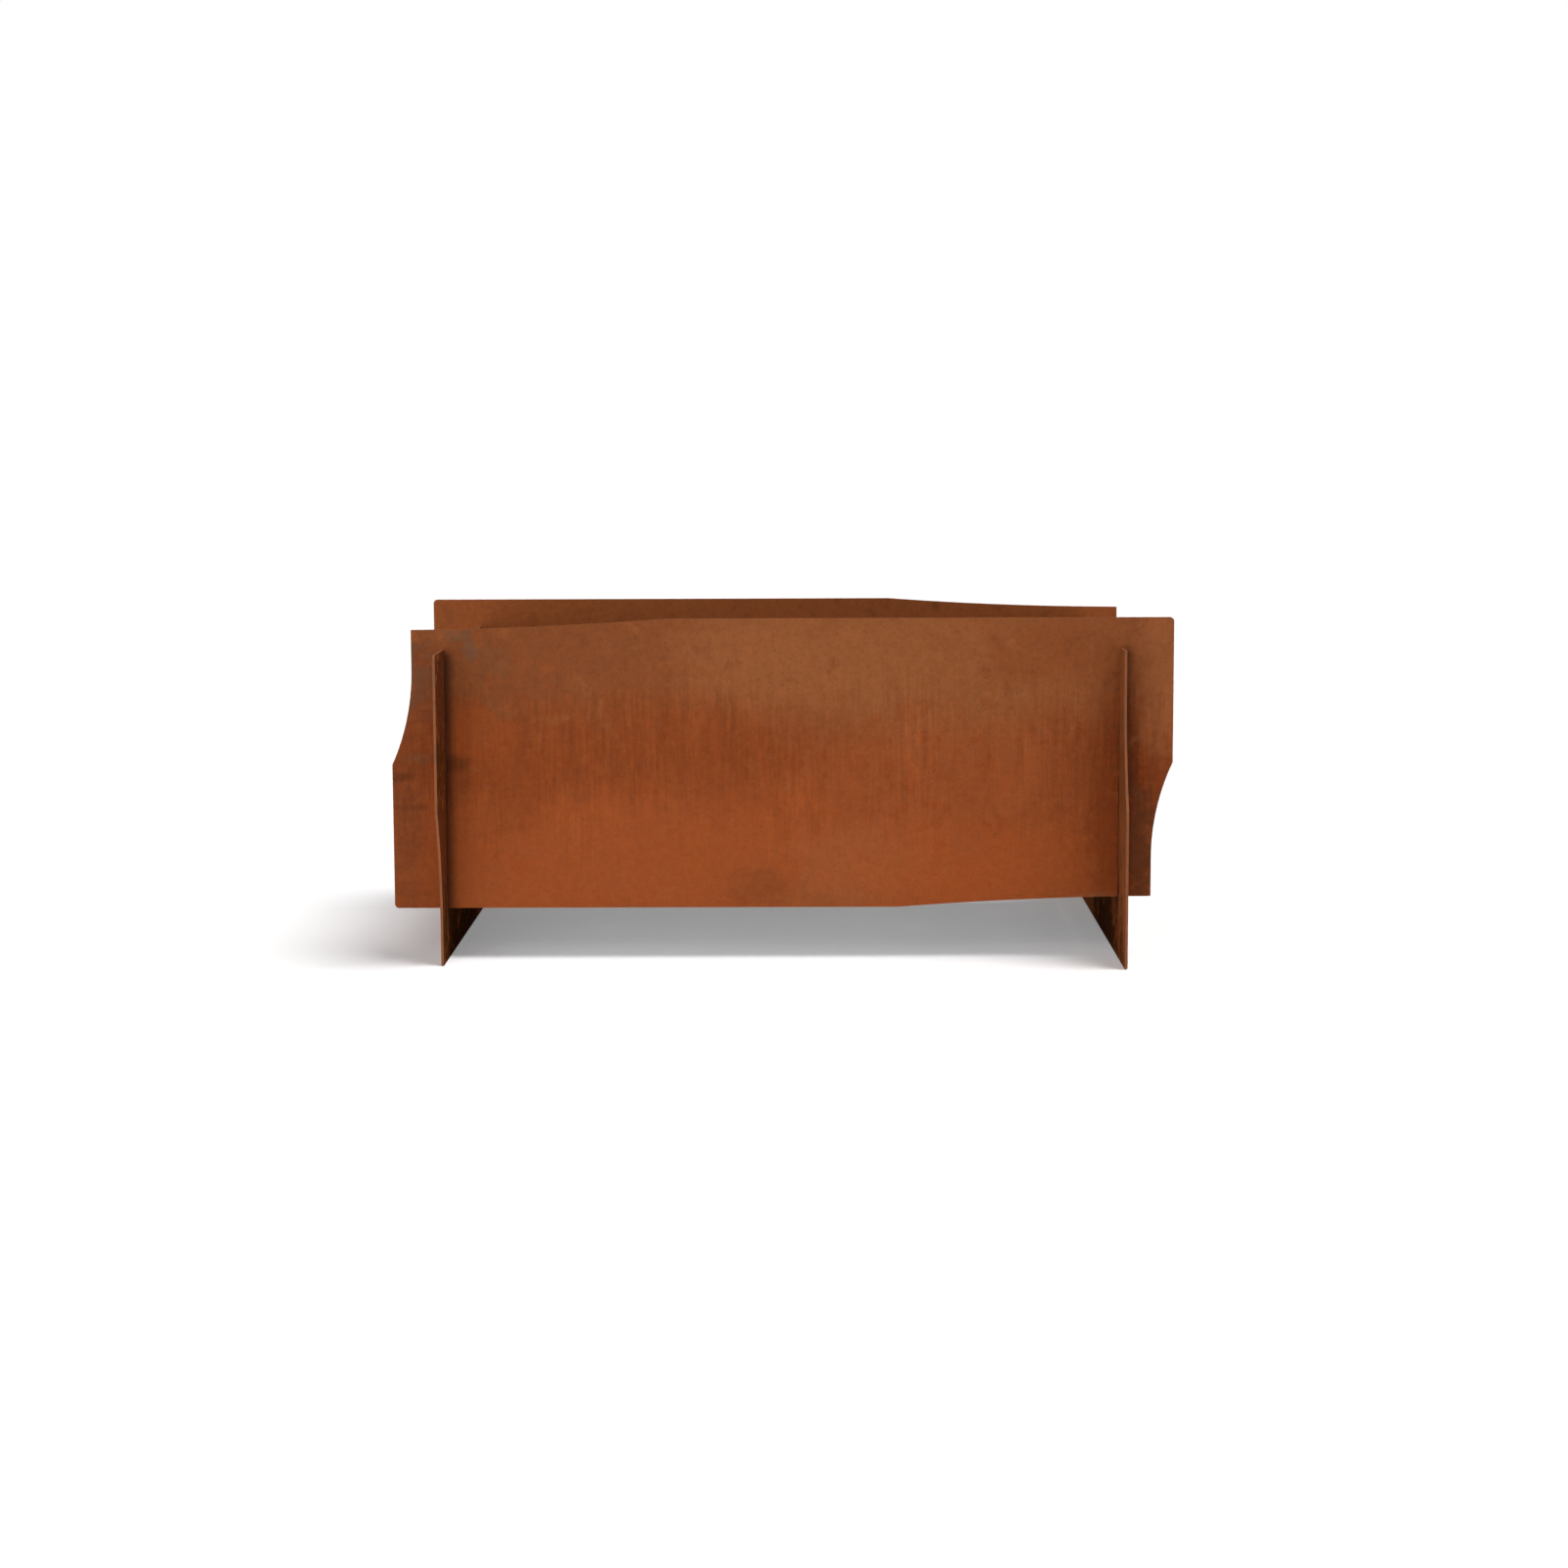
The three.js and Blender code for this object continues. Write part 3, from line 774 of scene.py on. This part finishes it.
FRONT_PATCHES = (
    front_spot(-0.46, 0.72, 0.50, 0.17, BROWN, 0.8),
    front_spot(-0.02, 0.70, 0.26, 0.15, TAN, 0.85),
    front_spot(0.34, 0.67, 0.58, 0.21, TAN, 0.85),
    front_spot(0.60, 0.71, 0.18, 0.09, (0.240, 0.060, 0.014), 0.6),
    front_spot(-0.34, 0.50, 0.44, 0.13, RED_BROWN, 0.6),
    front_spot(0.42, 0.42, 0.42, 0.16, (0.300, 0.073, 0.018), 0.75),
    front_spot(-0.05, 0.165, 0.10, 0.06, (0.225, 0.055, 0.013), 0.7),
    front_spot(0.12, 0.140, 0.17, 0.025, (0.240, 0.075, 0.024), 0.5),
    front_spot(0.20, 0.23, 0.22, 0.11, (0.320, 0.088, 0.025), 0.65),
    front_spot(0.45, 0.22, 0.30, 0.12, (0.335, 0.072, 0.014), 0.6),
    front_spot(0.74, 0.135, 0.10, 0.022, (0.330, 0.140, 0.060), 0.55),
    front_spot(-0.70, 0.52, 0.10, 0.09, (0.310, 0.066, 0.013), 0.75),
    front_spot(-0.716, 0.722, 0.022, 0.034, SLATE, 0.5),
    front_spot(-0.742, 0.755, 0.045, 0.018, SLATE, 0.4),
    front_spot(-0.67, 0.69, 0.06, 0.045, GREY_BROWN, 0.35),
    front_spot(-0.865, 0.68, 0.07, 0.14, (0.160, 0.062, 0.028), 0.75),
    front_spot(-0.87, 0.30, 0.06, 0.24, (0.196, 0.052, 0.015), 0.7),
    front_spot(-0.875, 0.425, 0.045, 0.012, DARK_BROWN, 0.6),
    front_spot(-0.85, 0.355, 0.050, 0.012, DARK_BROWN, 0.45),
    front_spot(-0.84, 0.47, 0.040, 0.018, GREY_BROWN, 0.5),
    front_spot(-0.748, 0.455, 0.036, 0.024, DARK_BROWN, 0.65),
    # Partly painted shade and partly a dark red stain, beside the right cross plate where it
    # blocks light.
    front_spot(0.775, 0.32, 0.085, 0.30, DARK_RED, 0.55),
    # Painted shadow: a dark band and a broad dark patch low down to the right of the right cross
    # plate, where its cast shadow falls.
    front_spot(0.800, 0.38, 0.034, 0.36, DARK_BROWN, 0.65),
    front_spot(0.835, 0.24, 0.055, 0.20, (0.125, 0.040, 0.012), 0.85),
    front_spot(0.865, 0.64, 0.070, 0.22, (0.325, 0.105, 0.034), 0.8),
)
# Painted shadow on the front plate: a dark band to the right of each cross plate, where its cast
# shadow falls.
FRONT_PAINTED_SHADOWS = (
    (-CROSS_INNER, 30 * MM, CROSS_TOP, 0.28),
    (CROSS_OUTER, 34 * MM, CROSS_TOP, 0.45),
)
REAR_PAINTED_LIGHT = (
    # Painted light: the rear plate's inner face is made lighter all over, where too little light
    # reaches it.
    ((0.0, LONG_INNER, 0.70), (3.2, ONE_FACE, 1.0), (0.375, 0.100, 0.026), 0.9),
)
LEFT_PAINTED_SHADE = (
    # Painted shade: the left cross plate's inner face is made dark all over, darker at its front
    # and foot, and darkest low down behind the front plate, where that plate's shadow falls.
    cross_spot(-1, 0.0, 0.40, 2.4, 1.8, (0.080, 0.020, 0.006), 0.92),
    cross_spot(-1, -0.52, 0.45, 0.12, 0.10, (0.065, 0.018, 0.004), 0.8),
    cross_spot(-1, -0.50, 0.06, 0.14, 0.12, (0.055, 0.020, 0.007), 0.8),
    cross_spot(-1, -0.12, 0.02, 0.42, 0.30, (0.026, 0.010, 0.004), 0.9),
)
RIGHT_PATCHES = (
    cross_spot(1, 0.0, 0.40, 2.4, 1.8, (0.235, 0.078, 0.028), 0.92),
    cross_spot(1, -0.48, 0.68, 0.12, 0.12, (0.295, 0.090, 0.029), 0.8),
    cross_spot(1, -0.50, 0.42, 0.12, 0.10, (0.195, 0.063, 0.020), 0.8),
    # Painted shadow: darkest low down behind the front plate, where that plate's shadow falls.
    cross_spot(1, -0.12, 0.02, 0.42, 0.30, (0.026, 0.010, 0.004), 0.9),
)


def on_long_plate(side):
    return lambda x, y, z: (-side * x, side * (LONG_Y + z), LONG_MIDDLE + y)


def on_cross_plate(side):
    return lambda x, y, z: (side * (CROSS_X + z), side * x, CROSS_TOP / 2 + y)


def make_plates():
    edges = cut_edge("cut_edge_steel", 1.0)
    front = rust("weathered_front_painted_shadows", 1.0, FRONT_PATCHES, painted_shadows=FRONT_PAINTED_SHADOWS)
    rear = rust("weathered_rear_painted_light", 2.3, REAR_PAINTED_LIGHT)
    left = rust("weathered_left_painted_shade", 3.1, LEFT_PAINTED_SHADE, CROSS_TOP, streaked=0.4, sheen=0.0)
    right = rust("weathered_right_painted_shadow", 4.7, RIGHT_PATCHES, CROSS_TOP, streaked=0.4, sheen=0.0)
    long_outline = long_plate_outline()
    cross_outline = cross_plate_outline()
    plans = (
        ("front_plate", long_outline, on_long_plate(-1), front),
        ("rear_plate", long_outline, on_long_plate(1), rear),
        ("left_cross_plate", cross_outline, on_cross_plate(-1), left),
        ("right_cross_plate", cross_outline, on_cross_plate(1), right),
    )
    for name, outline, place, material in plans:
        mesh = plate_mesh(name + "_sheet", outline, place)
        smooth_by_angle(mesh, 12)
        looks = (material, edges)
        sheet = new_piece(name + "_sheet", mesh, "frame", looks, (name,))
        add_bevel(sheet, 0.5 * MM)


# ---------------------------------------------------------------- galvanised, stainless, rubber

ZINC = (0.43, 0.44, 0.45)
ZINC_BLOOM = (0.60, 0.61, 0.61)
STAINLESS = (0.62, 0.62, 0.63)
STAINLESS_SMEAR = (0.52, 0.50, 0.47)
BLACK_RUBBER = (0.018, 0.018, 0.019)
DUSTY_RUBBER = (0.075, 0.068, 0.060)


def galvanised(name, seed):
    """Hot-dip galvanised steel: dull spangle and white bloom over a fine grain."""
    s = Shading(name)
    shift = (seed * 1.3, seed * 2.7, seed * 0.9)
    spangle = s.cells(55)
    spangle_tone = s.spread(s.axis(spangle, "X"), 0.0, 1.0, 0.85, 1.1, smooth=False)
    bloom = s.noise(7, 6, 0.65, 0.7, shift=shift)
    grain = s.noise(240, 3, 0.6, shift=shift)
    colour = s.mix(s.spread(bloom, 0.45, 0.7), ZINC, ZINC_BLOOM)
    grain_tone = s.spread(grain, 0.3, 0.7, 0.95, 1.05)
    colour = s.darken(colour, s.times(spangle_tone, grain_tone))
    roughness = s.plus(s.spread(s.axis(spangle, "Y"), 0, 1, 0.34, 0.5, smooth=False),
                       s.spread(bloom, 0.45, 0.7, 0.0, 0.18))
    normal = s.bump(grain, 0.2, 0.0003)
    s.feed(s.shader.inputs["Metallic"], 0.85)
    return s.finish(Base_Color=colour, Roughness=roughness, Normal=normal)


def stainless(name):
    s = Shading(name)
    lines = s.noise(1.0, 3, 0.6, stretch=(900, 900, 90))
    smears = s.noise(30, 4, 0.6, 0.4)
    colour = s.mix(s.spread(smears, 0.4, 0.7), STAINLESS, STAINLESS_SMEAR)
    s.feed(s.shader.inputs["Metallic"], 1.0)
    return s.finish(Base_Color=colour, Roughness=s.spread(lines, 0.3, 0.7, 0.24, 0.4),
                    Normal=s.bump(lines, 0.1, 0.0002))


def rubber(name):
    s = Shading(name)
    dust = s.noise(20, 5, 0.65, 0.4)
    grain = s.noise(350, 2, 0.6)
    colour = s.mix(s.spread(dust, 0.5, 0.75, 0.0, 0.6), BLACK_RUBBER, DUSTY_RUBBER)
    return s.finish(Base_Color=colour, Roughness=s.spread(dust, 0.4, 0.7, 0.6, 0.85),
                    Normal=s.bump(grain, 0.25, 0.0003))


# ---------------------------------------------------------------- fasteners


def threaded_stud():
    """An M10 weld stud along Z from the plate's face at the origin."""
    loops = []
    steps = round(STUD_LENGTH / (THREAD_PITCH / 6))
    for i in range(steps + 1):
        z = STUD_LENGTH * i / steps
        tip = STUD_R - max(0.0, z - (STUD_LENGTH - 1.2 * MM))

        def radius(angle, z=z, tip=tip):
            phase = (z / THREAD_PITCH - angle / (2 * math.pi)) % 1
            return min(tip, STUD_R - THREAD_DEPTH * abs(2 * phase - 1))

        loops.append(ring(radius, z, 24))
    loops.insert(0, ring(STUD_R - THREAD_DEPTH, -1 * MM, 24))
    return skin("stud", loops)


def hexagon_nut():
    """An M10 nut along Z, its seat at the origin, chamfered on both faces."""
    chamfer_r = NUT_FLAT * 0.96
    bore = STUD_R + GAP

    def hexagon(angle):
        return NUT_FLAT / math.cos((angle + math.pi / 6) % (math.pi / 3) - math.pi / 6)

    def drop(angle):
        return max(0.0, hexagon(angle) - chamfer_r) * math.tan(math.radians(30))

    steps = 72
    loops = [
        ring(bore, 0.7 * MM, steps),
        ring(bore + 0.6 * MM, 0.0, steps),
        ring(chamfer_r, 0.0, steps),
        ring(hexagon, drop, steps),
        ring(hexagon, lambda angle: NUT_HEIGHT - drop(angle), steps),
        ring(chamfer_r, NUT_HEIGHT, steps),
        ring(bore + 0.6 * MM, NUT_HEIGHT, steps),
        ring(bore, NUT_HEIGHT - 0.7 * MM, steps),
    ]
    return skin("nut", loops, closed=True)


def corner_names():
    for end, side_y in (("front", -1), ("rear", 1)):
        for side, side_x in (("left", -1), ("right", 1)):
            yield end + "_" + side, side_x, side_y


def stud_places():
    """Each stud's plate, nut name, place on the plate's inner face and way inwards."""
    for corner, side_x, side_y in corner_names():
        end, side = corner.split("_")
        for level, height in zip(("lower", "upper"), CLEAT_STUD_HEIGHTS):
            on_long = (side_x * (CROSS_INNER - STUD_OFFSET), side_y * LONG_INNER, height)
            yield end + "_plate", corner + "_" + level + "_long_nut", on_long, (0, -side_y, 0)
            on_cross = (side_x * CROSS_INNER, side_y * (LONG_INNER - STUD_OFFSET), height)
            nut = corner + "_" + level + "_cross_nut"
            yield side + "_cross_plate", nut, on_cross, (-side_x, 0, 0)
    for end, side_y in (("front", -1), ("rear", 1)):
        for i, x in enumerate(LEDGE_STUDS):
            place = (x, side_y * LONG_INNER, LEDGE_STUD_HEIGHT)
            yield end + "_plate", end + "_ledge_nut_" + str(i + 1), place, (0, -side_y, 0)


def make_fasteners(looks):
    stud = threaded_stud()
    nut = hexagon_nut()
    smooth_by_angle(nut, 20)
    studs = {}
    for plate, nut_name, place, way in stud_places():
        studs.setdefault(plate, []).append((stud, aimed(place, way)))
        seat = Vector(place) + Vector(way) * (ANGLE_WALL + 2 * GAP)
        mesh = joined(nut_name + "_hex", [(nut, aimed(seat, way))])
        smooth_by_angle(mesh, 20)
        look = (looks["stainless"],)
        new_piece(nut_name + "_hex", mesh, "frame", look, (nut_name,))
    for plate, parts in studs.items():
        mesh = joined(plate + "_studs", parts)
        smooth_by_angle(mesh, 60)
        look = (looks["stud"],)
        new_piece(plate + "_studs", mesh, "frame", look, (plate,))


# ---------------------------------------------------------------- cleats, ledges, bearers


def angle_outline(leg):
    """Rolled angle steel about its outer corner, with a filleted root and rounded toes."""
    corners = (
        (0, 0, 1 * MM), (leg, 0, 0.6 * MM), (leg, ANGLE_WALL, 3 * MM),
        (ANGLE_WALL, ANGLE_WALL, 6 * MM), (ANGLE_WALL, leg, 3 * MM), (0, leg, 0.6 * MM),
    )
    return rounded(corners)


def make_cleats(look):
    outline = angle_outline(CLEAT_LEG)
    for corner, side_x, side_y in corner_names():

        def place(u, v, along, side_x=side_x, side_y=side_y):
            return (side_x * (CROSS_INNER - GAP - u), side_y * (LONG_INNER - GAP - v), along)

        mesh = bar(corner + "_cleat_angle", outline, place, CLEAT_BOTTOM, CLEAT_TOP)
        holes = []
        for height in CLEAT_STUD_HEIGHTS:
            x = side_x * (CROSS_INNER - STUD_OFFSET)
            y = side_y * (LONG_INNER - STUD_OFFSET)
            on_long = (x, side_y * (LONG_INNER - 2 * MM), height)
            on_cross = (side_x * (CROSS_INNER - 2 * MM), y, height)
            holes.append((on_long, (0, 1, 0), HOLE_R, DRILL_LENGTH))
            holes.append((on_cross, (1, 0, 0), HOLE_R, DRILL_LENGTH))
        mesh = drilled(mesh, holes)
        smooth_by_angle(mesh, 30)
        cleat = corner + "_cleat"
        piece = new_piece(cleat + "_angle", mesh, "frame", (look,), (cleat,))
        add_bevel(piece, 0.4 * MM, degrees=50)


def make_ledges(look):
    outline = angle_outline(LEDGE_LEG)
    for end, side_y in (("front", -1), ("rear", 1)):

        def place(u, v, along, side_y=side_y):
            return (along, side_y * (LONG_INNER - GAP - u), LEDGE_BOTTOM + v)

        mesh = bar(end + "_ledge_angle", outline, place, -LEDGE_HALF, LEDGE_HALF)
        middle = side_y * (LONG_INNER - 2 * MM)
        centres = [(x, middle, LEDGE_STUD_HEIGHT) for x in LEDGE_STUDS]
        mesh = drilled(mesh, [(centre, (0, 1, 0), HOLE_R, DRILL_LENGTH) for centre in centres])
        smooth_by_angle(mesh, 30)
        ledge = end + "_ledge"
        piece = new_piece(ledge + "_angle", mesh, "frame", (look,), (ledge,))
        add_bevel(piece, 0.4 * MM, degrees=50)


def square(half, radius):
    corners = ((half, half), (-half, half), (-half, -half), (half, -half))
    return rounded([(x, y, radius) for x, y in corners])


def make_bearers(steel, rubber_look):
    outer = square(BEARER / 2, 5 * MM)
    inner = square(BEARER / 2 - BEARER_WALL, 2 * MM)
    half = PAD_WIDTH / 2
    strip = [(-half, 0, 0.8 * MM), (half, 0, 0.8 * MM), (half, PAD_THICKNESS, 0.6 * MM)]
    floor = PAD_THICKNESS - GROOVE_DEPTH
    for i in range(PAD_GROOVES):
        middle = half - PAD_WIDTH * (i + 1) / (PAD_GROOVES + 1)
        strip += [(middle + GROOVE_HALF, PAD_THICKNESS, 0), (middle + GROOVE_FLOOR_HALF, floor, 0)]
        strip += [(middle - GROOVE_FLOOR_HALF, floor, 0), (middle - GROOVE_HALF, PAD_THICKNESS, 0)]
    strip.append((-half, PAD_THICKNESS, 0.6 * MM))
    strip = rounded(strip, 3)
    for i, x in enumerate(BEARER_PLACES):
        name = "floor_bearer_" + str(i + 1)
        height = BEARER_BOTTOM + BEARER / 2
        ends = (-BEARER_HALF, BEARER_HALF)
        plan = [(outer, y) for y in ends] + [(inner, y) for y in ends[::-1]]
        loops = [[(x + u, y, height + v) for u, v in outline] for outline, y in plan]
        tube = skin(name + "_tube", loops, closed=True)
        smooth_by_angle(tube, 30)
        piece = new_piece(name + "_tube", tube, "frame", (steel,), (name,))
        add_bevel(piece, 0.3 * MM, degrees=50)
        pad = "bearer_pad_" + str(i + 1)

        def place(u, v, along, x=x):
            return (x + u, along, PAD_BOTTOM + v)

        mesh = bar(pad + "_strip", strip, place, -PAD_HALF, PAD_HALF)
        smooth_by_angle(mesh, 30)
        new_piece(pad + "_strip", mesh, "frame", (rubber_look,), (pad,))


# ---------------------------------------------------------------- tub


def bend(centre, radius, start, end):
    """A quarter turn of the sheet in the tub's section; degrees."""
    return arc(centre, radius, math.radians(start), math.radians(end), 5)


def tub_section():
    """The sheet's closed section, (out from the wall, height): up, over the rim and back."""
    inner = TUB_BEND
    outer = TUB_BEND + TUB_WALL
    top = TUB_RIM_TOP - outer
    foot = (-outer, TUB_BOTTOM + outer)
    points = bend(foot, inner, -90, 0)
    points += bend((inner, top), outer, 180, 90)
    points += bend((TUB_RIM - outer, top), outer, 90, 0)
    lip = TUB_RIM_TOP - TUB_LIP
    points += [(TUB_RIM, lip + 0.7 * MM), (TUB_RIM - 0.7 * MM, lip)]
    points += [(TUB_RIM - TUB_WALL + 0.7 * MM, lip), (TUB_RIM - TUB_WALL, lip + 0.7 * MM)]
    points += bend((TUB_RIM - outer, top), inner, 0, 90)
    points += bend((inner, top), inner, 90, 180)
    points += bend(foot, outer, 0, -90)
    return points


def tub_loop(out, height):
    x = TUB_HALF_X + out
    y = TUB_HALF_Y + out
    corners = ((x, y), (-x, y), (-x, -y), (x, -y))
    return [(u, v, height) for u, v in rounded([(a, b, 3 * MM) for a, b in corners], 4)]


def make_tub(look):
    mesh = skin("planting_tub_shell", [tub_loop(out, height) for out, height in tub_section()])
    floor = TUB_BOTTOM + TUB_WALL / 2
    hole_r = SPIGOT_R + GAP
    centres = [(side * DRAIN_X, 0, floor) for side in (-1, 1)]
    mesh = drilled(mesh, [(centre, (0, 0, 1), hole_r, DRILL_LENGTH) for centre in centres])
    smooth_by_angle(mesh, 30)
    new_piece("planting_tub_shell", mesh, "tub", (look,), ("planting_tub",))
    seams = []
    for side_x in (-1, 1):
        for side_y in (-1, 1):
            x = side_x * (TUB_HALF_X - 1.2 * MM)
            y = side_y * (TUB_HALF_Y - 1.2 * MM)
            path = [(x, y, TUB_BOTTOM + 6 * MM), (x, y, TUB_RIM_TOP - 6 * MM)]
            seams.append((weld_bead("seam", path, 2.6 * MM), Matrix.Identity(4)))
    mesh = joined("planting_tub_welds", seams)
    smooth_by_angle(mesh, 60)
    new_piece("planting_tub_welds", mesh, "tub", (look,), ("planting_tub",))


def lathe(name, profile):
    """A closed (radius, height) profile turned about Z."""
    return skin(name, [ring(r, z, ROUND_STEPS) for r, z in profile], closed=True)


def make_drains(steel):
    bore = SPIGOT_R - SPIGOT_WALL
    flange_top = FLANGE_BOTTOM + FLANGE_THICKNESS
    pipe = rounded([
        (bore, SPIGOT_BOTTOM, 0.8 * MM), (SPIGOT_R, SPIGOT_BOTTOM, 1.4 * MM),
        (SPIGOT_R, FLANGE_BOTTOM, 0), (FLANGE_R, FLANGE_BOTTOM, 0.4 * MM),
        (FLANGE_R, flange_top, 1.2 * MM), (bore, flange_top, 2 * MM),
    ], 4)
    low = STRAINER_BOTTOM
    high = low + STRAINER_HEIGHT
    under = high - STRAINER_WALL
    reach = STRAINER_R - STRAINER_WALL
    inside = arc((reach - 3 * MM, under - 3 * MM), 3 * MM, math.pi / 2, 0, 5)
    outside = arc((STRAINER_R - 6 * MM, high - 6 * MM), 6 * MM, 0, math.pi / 2, 8)
    cap = [(STRAINER_HUB_R, under)] + inside + [(reach, low), (STRAINER_R, low)]
    cap += outside + [(STRAINER_HUB_R, high)]
    for side, side_x in (("left", -1), ("right", 1)):
        place = Matrix.Translation((side_x * DRAIN_X, 0, 0))
        name = side + "_drain_spigot"
        mesh = joined(name + "_pipe", [(lathe("pipe", pipe), place)])
        smooth_by_angle(mesh, 30)
        new_piece(name + "_pipe", mesh, "tub", (steel,), (name,))
        rim = ring(FLANGE_R, FLANGE_BOTTOM + 0.8 * MM, 60)
        round_path = [(x + side_x * DRAIN_X, y, z) for x, y, z in rim]
        mesh = weld_bead(name + "_weld", round_path, 1.5 * MM, closed=True)
        smooth_by_angle(mesh, 60)
        new_piece(name + "_weld", mesh, "tub", (steel,), (name,))
        name = side + "_drain_strainer"
        dome = skin("cap", [ring(r, z, ROUND_STEPS) for r, z in cap])
        mesh = joined(name + "_cap", [(dome, place)])
        holes = []
        for i in range(STRAINER_HOLES):
            angle = 2 * math.pi * i / STRAINER_HOLES
            x = side_x * DRAIN_X + STRAINER_R * STRAINER_HOLE_RING * math.cos(angle)
            y = STRAINER_R * STRAINER_HOLE_RING * math.sin(angle)
            holes.append(((x, y, high), (0, 0, 1), STRAINER_HOLE_R, STRAINER_DRILL_LENGTH))
        mesh = drilled(mesh, holes)
        smooth_by_angle(mesh, 35)
        new_piece(name + "_cap", mesh, "tub", (steel,), (name,))


def make_lugs(look):
    middle = LUG_HEIGHT / 2
    nose = arc((LUG_EYE_OUT, middle), LUG_NOSE_R, -math.pi / 3, math.pi / 3, 24)
    outline = [(0, LUG_HEIGHT), (0, 0)] + nose
    half = LUG_THICKNESS / 2
    root = TUB_HALF_X - TUB_WALL - GAP
    for end, side_y in (("front", -1), ("rear", 1)):
        for side, side_x in (("left", -1), ("right", 1)):
            name = end + "_" + side + "_lifting_lug"

            def place(u, v, along, side_x=side_x, side_y=side_y):
                return (side_x * (root - u), side_y * LUG_Y + along, LUG_BOTTOM + v)

            mesh = bar(name + "_plate", outline, place, -half, half)
            eye = place(LUG_EYE_OUT, middle, 0)
            mesh = drilled(mesh, [(eye, (0, 1, 0), LUG_HOLE_R, LUG_DRILL_LENGTH)])
            smooth_by_angle(mesh, 30)
            piece = new_piece(name + "_plate", mesh, "tub", (look,), (name,))
            add_bevel(piece, 1 * MM, segments=3, degrees=50)
            foot = [(0, 0, -half), (0, 0, half), (0, LUG_HEIGHT, half), (0, LUG_HEIGHT, -half)]
            path = [place(u, v, along) for u, v, along in foot]
            mesh = weld_bead(name + "_weld", path, 3 * MM, closed=True)
            smooth_by_angle(mesh, 60)
            new_piece(name + "_weld", mesh, "tub", (look,), (name,))


# ---------------------------------------------------------------- build

add_camera()
make_world()
make_floor()
light_scene()
make_plates()
steel_on_frame = galvanised("galvanised_frame", 1.0)
steel_of_tub = galvanised("galvanised_tub", 2.0)
bright = stainless("stainless_fasteners")
make_fasteners({"stainless": bright, "stud": cut_edge("stud_steel", 2.0)})
make_cleats(steel_on_frame)
make_ledges(steel_on_frame)
make_bearers(steel_on_frame, rubber("rubber_pads"))
make_tub(steel_of_tub)
make_drains(bright)
make_lugs(steel_of_tub)
